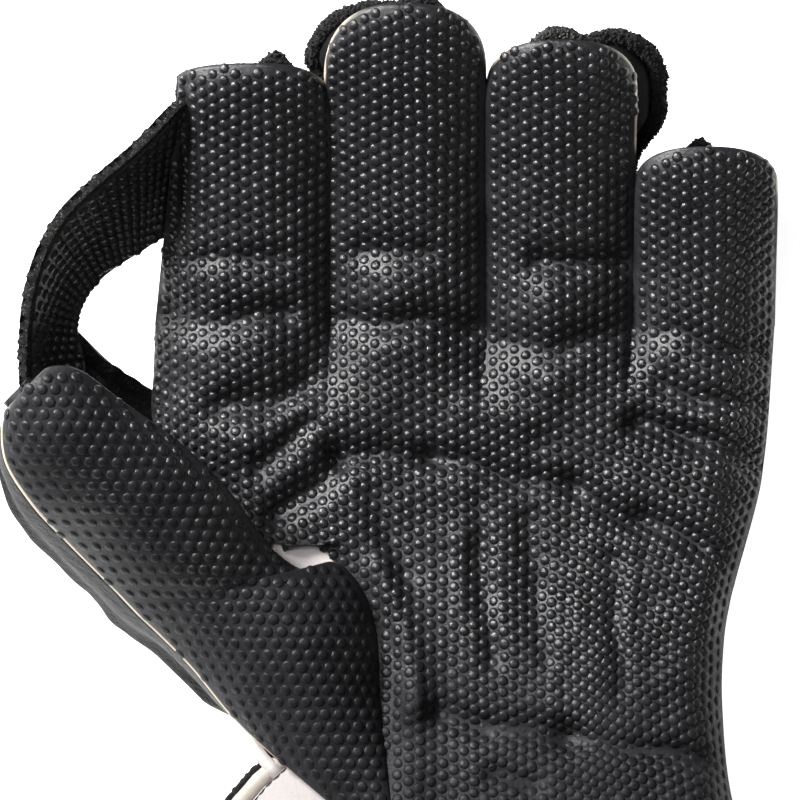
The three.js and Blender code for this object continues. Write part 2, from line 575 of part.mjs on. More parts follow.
function handBack() {
  const last = HAND_BACK_ROWS.length - 1;
  const pointAt = (u, v) => {
    const row = mix(HAND_BACK_START, HAND_BACK_END, v);
    const rails = rowAt(HAND_BACK_ROWS, Math.min(row, last));
    const left = place(rails.leftX, rails.leftY, rails.leftUp);
    left.lerp(underPalm(0, row), clamp(rails.follow, 0, 1));
    return rest(trough(left, underPalm(1, row), -placeZ(SINK), u, 3.4));
  };
  return surfaceSkin(14, TROUGH_COLUMNS, pointAt, BACK_PAD, false);
}

// The y of the cuff at a share of the way from its top corner to the mouth
function cuffY(at) {
  const top = placeY(0.93);
  return mix(top, placeY(1) - CUFF_LENGTH, at);
}

function cuffRails(at) {
  const row = CUFF_ROWS.findIndex((each, index) => index === CUFF_ROWS.length - 2 || at <= CUFF_ROWS[index + 1].at);
  const span = CUFF_ROWS[row + 1].at - CUFF_ROWS[row].at;
  return rowAt(CUFF_ROWS, row + (at - CUFF_ROWS[row].at) / span);
}

function cuffBack() {
  const pointAt = (u, v) => {
    const rails = cuffRails(v ** 1.4);
    const y = cuffY(v ** 1.4);
    const left = new THREE.Vector3(placeX(rails.leftX), y, placeZ(rails.leftUp));
    const right = new THREE.Vector3(placeX(rails.rightX), y, placeZ(rails.rightUp));
    return rest(trough(left, right, -placeZ(SINK), u, 3));
  };
  const columns = TROUGH_COLUMNS + 2;
  return surfaceSkin(9, columns, pointAt, BACK_PAD, false, levelRims(columns, Infinity));
}

// Height of the front's lower edges over the rims of the back, level across
function cuffRim(at, share) {
  const rails = cuffRails(at);
  return placeZ(mix(rails.leftUp, rails.rightUp, share)) + BACK_PAD + FIT_GAP;
}

function cuffFront() {
  const columns = 14;
  const pointAt = (u, v) => {
    const top = rowAt(CUFF_TOP, u * (CUFF_TOP.length - 1));
    const topPoint = place(top.x, top.y, top.up);
    const startAt = (topPoint.y - cuffY(0)) / (cuffY(1) - cuffY(0));
    const at = mix(startAt, 1, v);
    const rails = cuffRails(at);
    const x = mix(mix(rails.leftX, rails.rightX, u), top.x, (1 - v) ** 2);
    const topRise = Math.max(0, topPoint.z - cuffRim(startAt, u));
    const mouthRise = (CUFF_DEPTH - cuffRim(1, u)) * (1 - Math.abs(2 * u - 1) ** 2.6);
    return new THREE.Vector3(placeX(x), cuffY(at), cuffRim(at, u) + mix(topRise, mouthRise, smooth(v)));
  };
  return surfaceSkin(7, columns, pointAt, BACK_PAD, true, upright);
}

// Round bar along a path
function bar(path, radius, sides) {
  const line = new THREE.CatmullRomCurve3(path);
  const steps = path.length * 2;
  const frames = line.computeFrenetFrames(steps, false);
  const points = [];
  const faces = [];
  for (let step = 0; step <= steps; step += 1) {
    const centre = line.getPointAt(step / steps);
    for (let side = 0; side < sides; side += 1) {
      const turn = (2 * Math.PI * side) / sides;
      const point = centre.clone().addScaledVector(frames.normals[step], radius * Math.cos(turn));
      points.push(point.addScaledVector(frames.binormals[step], radius * Math.sin(turn)));
    }
  }
  for (let step = 0; step < steps; step += 1) {
    for (let side = 0; side < sides; side += 1) {
      const a = step * sides + side;
      const b = step * sides + ((side + 1) % sides);
      faces.push(a, b, b + sides, a, b + sides, a + sides);
    }
  }
  for (let side = 1; side < sides - 1; side += 1) {
    faces.push(0, side + 1, side);
    faces.push(steps * sides, steps * sides + side, steps * sides + side + 1);
  }
  const geometry = new THREE.BufferGeometry();
  geometry.setAttribute('position', new THREE.Float32BufferAttribute(points.flatMap((p) => [p.x, p.y, p.z]), 3));
  geometry.setIndex(faces);
  geometry.computeVertexNormals();
  return geometry;
}

// Path outside the left edge of the cuff
function cuffEdge(out, up) {
  const edge = CUFF_ROWS.map((row) => new THREE.Vector3(placeX(row.leftX), cuffY(row.at), placeZ(row.leftUp) + up));
  return edge.map((point, index) => {
    const before = edge[Math.max(0, index - 1)];
    const along = edge[Math.min(edge.length - 1, index + 1)].clone().sub(before).setZ(0).normalize();
    return point.clone().add(new THREE.Vector3(along.y, -along.x, 0).multiplyScalar(out));
  });
}

const cuffBorder = () => bar(cuffEdge(ROLL_RADIUS + FIT_GAP, 0), ROLL_RADIUS, 6);
const cuffBinding = () => bar(cuffEdge(2 * ROLL_RADIUS + BINDING_RADIUS + 2 * FIT_GAP, 0), BINDING_RADIUS, 6);

// Web band, hollowed across
function webPoint(share, row) {
  const rails = rowAt(WEB_ROWS, row);
  const outer = place(rails.outX, rails.outY, rails.outUp);
  const inner = place(rails.inX, rails.inY, rails.inUp);
  const point = outer.lerp(inner, share);
  point.z -= placeZ(0.1) * Math.sin(Math.PI * share);
  return point;
}

// Share of the web's width at a distance from its outline
function webShare(distance, row) {
  return distance / webPoint(0, row).distanceTo(webPoint(1, row));
}

function webbing() {
  const last = WEB_ROWS.length - 1;
  const pointAt = (u, v) => webPoint(mix(webShare(RIM_WIDTH + FIT_GAP, v * last), 1, u), v * last);
  return surfaceSkin(2 * last, 6, pointAt, WEB_THICKNESS, true);
}

// Rim along the web's outline
function webBinding() {
  const last = WEB_ROWS.length - 1;
  const pointAt = (u, v) => webPoint(webShare(u * RIM_WIDTH, v * last), v * last);
  return surfaceSkin(2 * last, 1, pointAt, WEB_THICKNESS, true);
}

function webStrip() {
  const last = STRIP_ROWS.length - 1;
  const pointAt = (u, v) => {
    const rails = rowAt(STRIP_ROWS, v * last);
    return place(rails.outX, rails.outY, rails.outUp).lerp(place(rails.inX, rails.inY, rails.inUp), u);
  };
  return surfaceSkin(2 * last, 3, pointAt, LEATHER, true);
}

function crotchGusset() {
  const pointAt = (u, v) => {
    const x = CROTCH.midX + CROTCH.halfX * (2 * u - 1);
    const y = CROTCH.midY + CROTCH.halfY * (2 * v - 1);
    const up = CROTCH.up - CROTCH.sag * Math.sin(Math.PI * u) * Math.sin(Math.PI * v);
    return place(x, y, up);
  };
  return surfaceSkin(4, 6, pointAt, LEATHER, true);
}

function material(colour, roughness) {
  return new THREE.MeshStandardMaterial({ color: colour, roughness, metalness: 0 });
}

const blackRubber = () => material('#1b1b1d', 0.5);
const blackLeather = () => material('#141416', 0.6);
const blackPile = () => material('#0d0d0e', 0.95);
const whiteLeather = () => material('#e9e3de', 0.55);
const creamRoll = () => material('#e0d3bf', 0.6);
const greyEdge = () => material('#55544f', 0.8);

const glove = new THREE.Group();

function add(name, geometry, look) {
  const mesh = new THREE.Mesh(geometry, look);
  mesh.name = name;
  glove.add(mesh);
}

add('palm_facing', palmFacing(), blackRubber());
add('thumb_facing', thumbFacing(), blackRubber());
for (const finger of FINGERS) {
  add(`${finger.name}_gusset`, fingerGusset(finger), blackLeather());
  add(`${finger.name}_back`, fingerBack(finger), blackPile());
}
add('thumb_back', thumbBack(), blackLeather());
add('hand_back', handBack(), whiteLeather());
add('crotch_gusset', crotchGusset(), whiteLeather());
add('webbing', webbing(), blackRubber());
add('web_binding', webBinding(), greyEdge());
add('web_strip', webStrip(), blackLeather());
add('cuff_back', cuffBack(), whiteLeather());
add('cuff_front', cuffFront(), whiteLeather());
add('cuff_border', cuffBorder(), creamRoll());
add('cuff_binding', cuffBinding(), blackLeather());

// The origin is under the middle of the box, on the floor
const box = new THREE.Box3().setFromObject(glove);
glove.position.set(-0.5 * (box.min.x + box.max.x), -0.5 * (box.min.y + box.max.y), 0);
glove.updateMatrixWorld(true);

export default glove;
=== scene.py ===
"""Looks of a left-hand wicketkeeping glove, laid on its back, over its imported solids.

Shapes are worked out in mm, x towards the little finger, y towards the fingertips, z out of the palm,
with the middle of the finger roots as the zero of x and y. Meshes are made in metres in the row frame.
"""

import bpy
import numpy as np
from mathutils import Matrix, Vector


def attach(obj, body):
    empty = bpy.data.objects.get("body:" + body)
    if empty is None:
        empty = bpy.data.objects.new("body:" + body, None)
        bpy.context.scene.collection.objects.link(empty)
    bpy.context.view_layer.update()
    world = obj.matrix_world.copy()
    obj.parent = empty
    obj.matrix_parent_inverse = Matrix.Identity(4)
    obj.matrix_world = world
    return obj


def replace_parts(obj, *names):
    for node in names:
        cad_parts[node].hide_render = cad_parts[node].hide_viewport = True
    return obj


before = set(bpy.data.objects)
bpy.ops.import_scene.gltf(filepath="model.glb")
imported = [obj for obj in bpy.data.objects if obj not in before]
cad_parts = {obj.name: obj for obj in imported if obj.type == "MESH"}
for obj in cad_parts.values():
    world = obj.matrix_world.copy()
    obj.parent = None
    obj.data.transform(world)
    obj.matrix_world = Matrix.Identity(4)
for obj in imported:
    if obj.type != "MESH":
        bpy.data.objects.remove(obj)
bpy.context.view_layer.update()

# ---------------------------------------------------------------- sizes, as in the solids

ORIGIN = np.array([18.039, 52.411, 0.0])
PALM_WIDTH, HAND_LENGTH, FINGER_LENGTH, PALM_DEPTH = 144.4, 110.0, 75.0, 38.0
CUFF_LENGTH, CUFF_DEPTH = 70.0, 56.0
RUBBER, LEATHER, PADDING, BACK_PAD, WEB_THICKNESS = 2.2, 1.6, 4.0, 3.0, 2.8
FIT_GAP, SEAM_RISE, GUSSET_INSET = 0.35, 1.8, 1.6
ROLL_RADIUS, BINDING_RADIUS, RIM_WIDTH = 1.9, 1.1, 1.5
SIDE_DROP, OUTER_DROP, DROP_POWER = 0.2 * PALM_DEPTH, 0.26 * PALM_DEPTH, 2.2
GUSSET_TUCK, RIM_TUCK, THUMB_TUCK, THUMB_WALL = 1.7, 1.4, 1.25, 0.85
TIP_DROP, TIP_ROLL = 2.6, 7.0  # the facing rolls over at a fingertip, over this length
SLIT_OVERLAP = 0.12  # neighbouring tongues press on each other
SHEET_SCALES = (PALM_WIDTH, -HAND_LENGTH, PALM_WIDTH, -HAND_LENGTH)
FULL_TURN, HALVINGS, PIMPLE_SIDES = 6.2832, 34, 8
TIP_SIDE_DROP, THUMB_WIDTH = 0.55 * SIDE_DROP, 40
FLOOR_HALF, CAMERA_HEIGHT, SENSOR_WIDTH, PHOTO_WIDTH = 12.0, 4.0, 36, 0.18605

# Palm sheet, roots to wrist: left x, y, right x, y (shares of PALM_WIDTH and HAND_LENGTH), heights at
# left, middle and right (shares of PALM_DEPTH)
PALM_ROWS = [
    (-0.5, 0, 0.5, 0, 1, 1, 1), (-0.503, 0.1, 0.495, 0.1, 0.98, 0.95, 1),
    (-0.505, 0.191, 0.491, 0.182, 0.96, 0.91, 1), (-0.479, 0.259, 0.486, 0.255, 0.94, 0.88, 1),
    (-0.427, 0.323, 0.479, 0.327, 0.93, 0.87, 1), (-0.378, 0.391, 0.468, 0.391, 0.92, 0.86, 0.99),
    (-0.319, 0.453, 0.454, 0.459, 0.9, 0.86, 0.98), (-0.245, 0.461, 0.444, 0.505, 0.88, 0.86, 0.97),
    (-0.212, 0.488, 0.436, 0.545, 0.87, 0.87, 0.965), (-0.17, 0.545, 0.429, 0.582, 0.87, 0.88, 0.96),
    (-0.143, 0.641, 0.419, 0.664, 0.87, 0.93, 0.96), (-0.136, 0.791, 0.416, 0.8, 0.89, 0.98, 0.97),
    (-0.12, 0.991, 0.431, 0.995, 0.95, 1.05, 1), (-0.115, 1.109, 0.477, 1.173, 1, 1.1, 1.05),
]

# Thumb sheet, wrist to tip: left x, y, height, arch, right x, y, height
THUMB_ROWS = [
    (-0.167, 1.059, 0.95, 0.03, -0.115, 1.109, 1), (-0.226, 1, 0.82, 0.08, -0.12, 0.991, 0.95),
    (-0.359, 0.85, 0.76, 0.24, -0.136, 0.791, 0.89), (-0.44, 0.725, 0.76, 0.37, -0.143, 0.641, 0.87),
    (-0.492, 0.655, 0.79, 0.39, -0.17, 0.545, 0.87), (-0.527, 0.611, 0.84, 0.37, -0.214, 0.497, 0.9),
    (-0.558, 0.568, 0.89, 0.34, -0.262, 0.512, 1), (-0.582, 0.535, 0.95, 0.32, -0.318, 0.457, 1.13),
    (-0.643, 0.453, 1.11, 0.28, -0.375, 0.351, 1.32), (-0.693, 0.382, 1.29, 0.26, -0.456, 0.245, 1.47),
    (-0.736, 0.293, 1.47, 0.24, -0.551, 0.155, 1.61), (-0.743, 0.214, 1.61, 0.16, -0.617, 0.091, 1.7),
    (-0.73, 0.168, 1.68, 0.09, -0.666, 0.085, 1.74), (-0.711, 0.144, 1.71, 0.03, -0.693, 0.119, 1.74),
]

# Back of the thumb: right x, y, height, keel, bulge, how far its right rim follows the thumb sheet
THUMB_BACK_ROWS = [
    (-0.33, 0.83, 0.12, 0.05, 0.014, 0), (-0.36, 0.7, 0.1, 0.04, 0.03, 0), (-0.38, 0.6, 0.12, 0.05, 0.045, 0),
    (-0.385, 0.53, 0.3, 0.1, 0.06, 0), (-0.385, 0.475, 0.62, 0.18, 0.065, 0.3),
    (-0.39, 0.42, 0.98, 0.27, 0.07, 1), (-0.43, 0.36, 1.16, 0.42, 0.07, 1), (-0.5, 0.26, 1.34, 0.6, 0.06, 1),
    (-0.585, 0.18, 1.48, 0.8, 0.035, 1), (-0.635, 0.13, 1.58, 1, 0.015, 1), (-0.675, 0.115, 1.62, 1.16, 0.01, 1),
    (-0.697, 0.13, 1.63, 1.3, 0.01, 1),
]

# Fingers: root and tip edges, length, shoulders, rise of the crown, keel, and how the padded back leans
FINGER_NAMES = ("index", "middle", "ring", "little")
FINGER_KEYS = ("root_left", "root_right", "tip_left", "tip_right", "length", "left_shoulder",
               "right_shoulder", "rise", "keel", "shift", "over", "top", "lean_from")
FINGER_ROWS = [
    (-0.5, -0.217, -0.456, -0.213, 0.812, 0.045, 0.133, 0.55, 0.78, -0.006, 0.01, 0.012, 0.75),
    (-0.217, 0.034, -0.229, 0.0335, 0.995, 0.253, 0.21, 0.74, 1.06, -0.027, 0.012, 0.01, 0.71),
    (0.034, 0.271, 0.0335, 0.277, 0.884, 0.16, 0.16, 0.64, 0.9, 0.034, 0.012, 0.022, 0.59),
    (0.271, 0.5, 0.275, 0.505, 0.556, 0.12, 0.13, 0.36, 0.5, 0, 0.006, 0.008, 0.7),
]
FINGERS = {name: dict(zip(FINGER_KEYS, row), name=name) for name, row in zip(FINGER_NAMES, FINGER_ROWS)}
LEAN_SPAN, ROOT_CLEAR, HEIGHT_OF_RIM = 0.12, 0.008, 0.5
# Bulge of the pile past each fingertip: middle and width across the finger, height in mm
TIP_BULGES = {"index": (0.33, 0.16, 3.6), "middle": (0.5, 0.25, 3.4), "ring": (-0.35, 0.3, 3.2),
              "little": (-0.1, 0.14, 2.9)}
# Roll of the padded back: how far inside the outline, its radius, from and to which side it passes the tip
ROLLS = {"index": (3.6, 1.6, -3, -2), "middle": (1.9, 1.5, 0.9, -0.4), "ring": (1.3, 1.8, -0.1, 0.5),
         "little": (3.4, 1.5, -3, -2)}

# Creases of the rubber: from x, y, to x, y, depth, width (shares of PALM_DEPTH). A ridge has depth under 0.
CREASES = [
    (-0.472, -0.023, -0.29, -0.029, 0.09, 0.09), (-0.435, -0.141, -0.298, -0.148, 0.04, 0.08),
    (-0.193, -0.015, 0.005, -0.002, 0.09, 0.09), (-0.169, -0.163, -0.064, -0.154, 0.07, 0.08),
    (0.121, -0.137, 0.25, -0.137, 0.08, 0.09), (0.065, 0.038, 0.234, 0.017, 0.06, 0.09),
    (0.333, 0.019, 0.467, 0.053, 0.05, 0.08), (0.317, 0.129, 0.469, 0.165, 0.06, 0.08),
    (0.282, 0.197, 0.47, 0.284, 0.12, 0.09), (0.29, 0.391, 0.398, 0.467, 0.06, 0.08),
    (-0.386, 0.171, -0.258, 0.116, 0.12, 0.1), (-0.327, 0.298, -0.253, 0.207, 0.07, 0.08),
    (-0.295, 0.391, -0.209, 0.286, 0.09, 0.09), (-0.209, 0.277, -0.056, 0.267, 0.07, 0.08),
    (-0.056, 0.267, 0.177, 0.345, 0.07, 0.08), (0.177, 0.345, 0.362, 0.461, 0.06, 0.08),
    (-0.04, 0.823, 0.169, 0.869, 0.07, 0.08), (0.169, 0.869, 0.379, 0.92, 0.06, 0.08),
    (0.016, 0.366, 0.04, 0.704, 0.04, 0.07), (0.102, 0.408, 0.134, 0.704, 0.04, 0.07),
    (0.237, 0.493, 0.25, 0.768, 0.04, 0.07),
]
FINE_FOLDS = [
    (-0.105, -0.09, -0.1, -0.085, -0.03, 0.12), (0.137, -0.04, 0.14, -0.03, -0.04, 0.12),
    (0.137, 0.11, 0.14, 0.115, -0.04, 0.12), (-0.011, 0.45, -0.016, 0.588, -0.015, 0.05),
    (0.056, 0.49, 0.073, 0.66, -0.012, 0.06), (0.182, 0.54, 0.185, 0.63, -0.015, 0.05),
    (0.277, 0.47, 0.258, 0.662, -0.015, 0.05), (-0.135, 0.5, -0.085, 0.66, -0.05, 0.1),
    (-0.085, 0.66, -0.08, 0.8, -0.05, 0.1), (-0.08, 0.8, -0.097, 1.05, -0.04, 0.1),
    (0.04, 0.945, 0.113, 0.97, 0.04, 0.06), (-0.15, 0.36, -0.1, 0.52, 0.04, 0.09),
    (-0.35, 0.24, -0.29, 0.3, -0.03, 0.07), (0.145, 0.75, 0.147, 0.82, -0.012, 0.05),
    (-0.449, -0.5, -0.4655, -0.16, 0.05, 0.045), (0.24, 0.02, 0.26, 0.12, -0.03, 0.08),
    (0.0, 0.17, 0.1, 0.2, -0.03, 0.1), (0.37, 0.6, 0.38, 0.85, 0.02, 0.1),
]

# Web band: outer x, y, height, inner x, y, height
WEB_ROWS = [
    (-0.44, -0.475, 1.22, -0.462, -0.19, 0.8),
    (-0.462, -0.455, 1.37, -0.49, -0.186, 0.84), (-0.517, -0.379, 1.45, -0.52, -0.161, 0.82),
    (-0.583, -0.304, 1.5, -0.558, -0.13, 0.82), (-0.64, -0.23, 1.5, -0.589, -0.097, 0.84),
    (-0.68, -0.132, 1.45, -0.614, -0.05, 0.87), (-0.7, -0.018, 1.32, -0.624, 0, 0.87),
    (-0.706, 0.082, 1.13, -0.613, 0.068, 0.84), (-0.705, 0.182, 0.97, -0.61, 0.145, 0.82),
]
STRIP_ROWS = [
    (-0.645, -0.02, 0.8, -0.65, 0.16, 0.72), (-0.583, 0.062, 0.76, -0.585, 0.19, 0.68),
    (-0.547, 0.1, 0.68, -0.55, 0.22, 0.6), (-0.502, 0.135, 0.56, -0.505, 0.25, 0.5),
]

# Back of the hand: left x, y, height of its left wall, how far that wall follows the palm sheet
HAND_BACK_ROWS = [
    (-0.49, 0, 0.6, 1), (-0.49, 0.1, 0.6, 1), (-0.49, 0.19, 0.6, 1), (-0.465, 0.265, 0.6, 1),
    (-0.41, 0.335, 0.6, 0.5), (-0.37, 0.4, 0.5, 0), (-0.355, 0.46, 0.2, 0), (-0.355, 0.51, 0.12, 0),
    (-0.355, 0.55, 0.1, 0), (-0.35, 0.6, 0.09, 0), (-0.335, 0.68, 0.08, 0), (-0.358, 0.865, 0.55, 0),
    (-0.29, 0.985, 0.7, 0),
]

# Cuff: share of the way to the mouth, left x, height, right x, height
CUFF_ROWS = [
    (0, -0.288, 0.6, 0.41, 0.62), (0.06, -0.322, 0.62, 0.413, 0.64), (0.13, -0.355, 0.64, 0.42, 0.66),
    (0.26, -0.39, 0.68, 0.44, 0.7), (0.5, -0.41, 0.78, 0.476, 0.8), (0.75, -0.425, 0.88, 0.492, 0.88),
    (1, -0.43, 0.95, 0.5, 0.95),
]
CUFF_TOP = [
    (-0.292, 0.915, 0.64), (-0.25, 0.95, 0.68), (-0.205, 1.0, 0.74), (-0.163, 1.055, 0.84),
    (-0.11, 1.12, 0.96), (0.1, 1.141, 1.08), (0.311, 1.164, 1.08), (0.462, 1.181, 0.83),
]

# Pimples, mm, and rings of small round shapes, each a share of the radius and of the height
PIMPLE_RADIUS, PIMPLE_HEIGHT = 1.24, 0.54
PALM_COLUMN_PITCH, PALM_ROW_PITCH = 2.62, 2.88
THUMB_COLUMN_PITCH, THUMB_ROW_PITCH = 3.35, 2.8
WEB_COLUMN_PITCH, WEB_ROW_PITCH = 2.7, 2.552
WEB_WORN = 0.3
KNOB = ((1.07, -0.1), (0.93, 0.42), (0.6, 0.87), (0, 1.0))
TUFT = ((0.9, -0.3), (1.0, 0.35), (0, 1.0))
THREAD = ((1, -0.3), (0.8, 0.5), (0, 1.0))

# Cream cut edge that shows: finger, side (-1 left, 1 right), from and to along the finger, width in mm
CUT_EDGES = [
    ("middle", -1, 0.74, 0.99, 0.55), ("ring", 1, 0.6, 0.985, 0.5), ("ring", -1, 0.9, 0.985, 0.3),
    ("little", 1, 0.72, 0.97, 0.4), ("index", 1, 0.9, 0.96, 0.25),
]

# ---------------------------------------------------------------- curves and fields


def mix(a, b, t):
    """The value a share t of the way from a to b."""
    return a + (b - a) * t


def smooth(t):
    """0 to 1 with level ends: 3t^2 - 2t^3."""
    t = np.clip(t, 0.0, 1.0)
    return t * t * (3 - 2 * t)


def hump(share):
    """0 to 1 and back to 0 as the share goes from 0 to 1: a sine."""
    return np.sin(np.pi * share)


def unit(vectors):
    """The same directions, each with a length of 1."""
    return vectors / np.maximum(np.linalg.norm(vectors, axis=-1, keepdims=True), 1e-12)


def ripple(x, y, length, seed):
    """Gentle unevenness about -1 to 1: seven sine waves of nearly one length in seeded directions."""
    chance = np.random.default_rng(seed)
    total = 0.0
    for turn, phase, stretch in chance.uniform((0, 0, 0.7), (FULL_TURN, FULL_TURN, 1.4), (7, 3)):
        along = x * np.cos(turn) + y * np.sin(turn)
        total = total + np.sin(along * FULL_TURN / (length * stretch) + phase)
    return total / 3.5


def rail(table, row):
    """The columns of a table at fractional rows: a Catmull-Rom curve through the rows, end rows repeated."""
    table, row = np.asarray(table, float), np.asarray(row, float)
    last = len(table) - 1
    index = np.clip(np.floor(row).astype(int), 0, last - 1)
    t = (row - index)[..., None]
    a, b, c, d = (table[np.clip(index + step, 0, last)] for step in (-1, 0, 1, 2))
    value = b + 0.5 * t * (c - a + t * (2 * a - 5 * b + 4 * c - d + t * (3 * b - a - 3 * c + d)))
    return np.moveaxis(value, -1, 0)


def stack(x, y, z):
    """Points from three arrays of coordinates."""
    return np.stack(np.broadcast_arrays(x, y, z), axis=-1).astype(float)


def place(x, y, up):
    """Points from shares of the palm's width, the hand's length downwards and the palm's depth."""
    return stack(np.asarray(x) * PALM_WIDTH, -np.asarray(y) * HAND_LENGTH, np.asarray(up) * PALM_DEPTH)


def relief(x, y):
    """Depth below the plain sheet: for each crease depth times exp(-(distance / width)^2) from its line,
    which wanders by a mm, and a slow unevenness of a fraction of a mm."""
    depth = 0.3 * ripple(x, y, 26, 3) + 0.15 * ripple(x, y, 11, 5)
    strength = 0.9 + 0.25 * ripple(x, y, 24, 9)
    x, y = x + 1.1 * ripple(x, y, 21, 7), y + 1.1 * ripple(x, y, 23, 8)
    for ax, ay, bx, by, deep, wide in CREASES + FINE_FOLDS:
        ax, bx, ay, by = ax * PALM_WIDTH, bx * PALM_WIDTH, -ay * HAND_LENGTH, -by * HAND_LENGTH
        dx, dy = bx - ax, by - ay
        along = np.clip(((x - ax) * dx + (y - ay) * dy) / (dx * dx + dy * dy), 0, 1)
        away = np.hypot(x - ax - along * dx, y - ay - along * dy) / (wide * PALM_DEPTH)
        depth = depth + deep * PALM_DEPTH * np.exp(-away * away) * strength
    return depth


def side_position(share):
    """-1 to 1 across a finger, closer together near its sides: the sine of the share."""
    return np.sin((np.asarray(share) - 0.5) * np.pi)


def finger_end(finger, side):
    """y where a finger ends: its length less shoulders that fall off as 1 - (1 - |side|^2.5)^(1/2.5)."""
    shoulder = np.where(side < 0, finger["left_shoulder"], finger["right_shoulder"])
    return FINGER_LENGTH * (finger["length"] - shoulder * (1 - (1 - np.abs(side) ** 2.5) ** (1 / 2.5)))


def finger_sides(finger, share):
    """x of a finger's left and right side, which taper straight from root to tip."""
    return [PALM_WIDTH * mix(finger["root_" + end], finger["tip_" + end], share) for end in ("left", "right")]


def finger_plan(finger, side, along, inset=0.0):
    """x, y and share of the length, between the finger's sides and up to its end."""
    y = (finger_end(finger, side) - inset) * along
    share = y / (finger["length"] * FINGER_LENGTH)
    left, right = finger_sides(finger, share)
    return mix(left + inset, right - inset, (side + 1) / 2), y, share


def finger_crown(finger, share):
    """Height of a finger's crown: a quadratic curl upwards to the tip."""
    return PALM_DEPTH * (1 + finger["rise"] * (0.35 * share + 0.65 * share * share))


def finger_top(finger, side, share, x, y):
    """Height of the rubber: the crown, less |side|^2.2 of the drop to the sides, a dip at the very tip,
    and the creases."""
    outer = ((finger["name"] == "index") & (side < 0)) | ((finger["name"] == "little") & (side > 0))
    drop = mix(np.where(outer, OUTER_DROP, SIDE_DROP), TIP_SIDE_DROP, smooth(share))
    near = np.clip(1 - (finger_end(finger, side) - y) / TIP_ROLL, 0, 1)
    drop = drop * np.abs(side) ** DROP_POWER
    return finger_crown(finger, share) - drop - TIP_DROP * near ** 2 - relief(x, y)


def root_drop(share, row):
    """Height lost at the sides of the finger roots, fading out down the palm."""
    lost = np.zeros(np.broadcast(share, row).shape)
    for name, finger in FINGERS.items():
        left, right = finger["root_left"] + 0.5, finger["root_right"] + 0.5
        side = 2 * (share - left) / (right - left) - 1
        shape = np.clip(np.abs(side), 0, 1) ** DROP_POWER
        here = SIDE_DROP * shape * (1 - smooth(row / 2.2))
        if name == "little":
            here = np.where(side > 0, OUTER_DROP * shape, here)
        if name == "index":
            here = np.where(side < 0, OUTER_DROP * shape * (1 - smooth((row - 3) / 3)), here)
        lost = np.where(np.abs(side) <= 1, here, lost)
    return lost


def palm_sheet(share, row):
    """A ruled plan between two edge curves, with a parabola across through the heights at left, middle and
    right, the drop at the finger sides and the creases."""
    left_x, left_y, right_x, right_y, left_up, mid_up, right_up = rail(PALM_ROWS, row)
    x, y = PALM_WIDTH * mix(left_x, right_x, share), -HAND_LENGTH * mix(left_y, right_y, share)
    up = (left_up * (1 - share) * (1 - 2 * share) + mid_up * 4 * share * (1 - share)
          + right_up * share * (2 * share - 1))
    return stack(x, y, PALM_DEPTH * up - root_drop(share, row) - relief(x, y))


def thumb_sheet(share, row):
    """A ruled plan between the thumb's two edges under an arch (4u(1 - u))^0.75, with a slow unevenness."""
    left_x, left_y, left_up, crown, right_x, right_y, right_up = rail(THUMB_ROWS, row)
    x, y = PALM_WIDTH * mix(left_x, right_x, share), -HAND_LENGTH * mix(left_y, right_y, share)
    arch = np.clip(4 * share * (1 - share), 0, 1) ** 0.75
    uneven = 0.3 * ripple(x, y, 30, 11) + 0.12 * ripple(x, y, 12, 12)
    return stack(x, y, PALM_DEPTH * (mix(left_up, right_up, share) + crown * arch) - uneven)


def band(table, share, row):
    """A ruled band between its outer and its inner edge."""
    edges = rail(table, row)
    return mix(place(*edges[:3]), place(*edges[3:]), np.asarray(share)[..., None])


def web_sheet(share, row):
    """The web's band, hollowed across by a sine."""
    point = band(WEB_ROWS, share, row)
    point[..., 2] -= 0.1 * PALM_DEPTH * hump(share)
    return point


def ruled_place(table, right, x, y):
    """Share and row of plan points on a ruled sheet, by halving: a point lies on the left of every ruling
    on one side of it and on the right of every ruling on the other. right is the column of the right x."""
    low, high = np.zeros(x.shape), np.full(x.shape, len(table) - 1.0)

    def turn(row):
        edges = rail(table, row)
        columns = zip((0, 1, right, right + 1), SHEET_SCALES)
        ax, ay, bx, by = (edges[column] * scale for column, scale in columns)
        return (bx - ax) * (y - ay) - (by - ay) * (x - ax), ax, ay, bx, by

    rising = turn(high)[0] > turn(low)[0]
    for _ in range(HALVINGS):
        middle = (low + high) / 2
        above = (turn(middle)[0] > 0) == rising
        low, high = np.where(above, low, middle), np.where(above, middle, high)
    row = (low + high) / 2
    _, ax, ay, bx, by = turn(row)
    share = ((x - ax) * (bx - ax) + (y - ay) * (by - ay)) / ((bx - ax) ** 2 + (by - ay) ** 2)
    return share, row


def palm_field(x, y):
    """Height of the palm facing over the plan, and how far a place lies inside its outline, in mm."""
    share, row = ruled_place(PALM_ROWS, 2, x, np.minimum(y, 0.0))
    height = palm_sheet(np.clip(share, 0, 1), row)[..., 2]
    narrower = np.clip(1.1 - 0.045 * row, 0.5, 1)
    inside = np.minimum(share + 0.008 * (row > 4), 1 - share) * 0.9 * PALM_WIDTH * narrower
    inside = np.where(row > len(PALM_ROWS) - 1.02, -1.0, inside)
    nearest = np.full(x.shape, 9.0)
    for finger in FINGERS.values():
        share = np.clip(y / (finger["length"] * FINGER_LENGTH), 0, 1)
        left, right = finger_sides(finger, share)
        side = 2 * (x - left) / (right - left) - 1
        off, held = np.abs(side), np.clip(side, -1, 1)
        own = (y > 0) & (off < nearest)
        nearest = np.where(own, off, nearest)
        height = np.where(own, finger_top(finger, held, share, x, y), height)
        reach = np.minimum((1 - off) * (right - left) / 2, (finger_end(finger, held) - y) * 0.7)
        inside = np.where(own, reach, inside)
    return height, inside


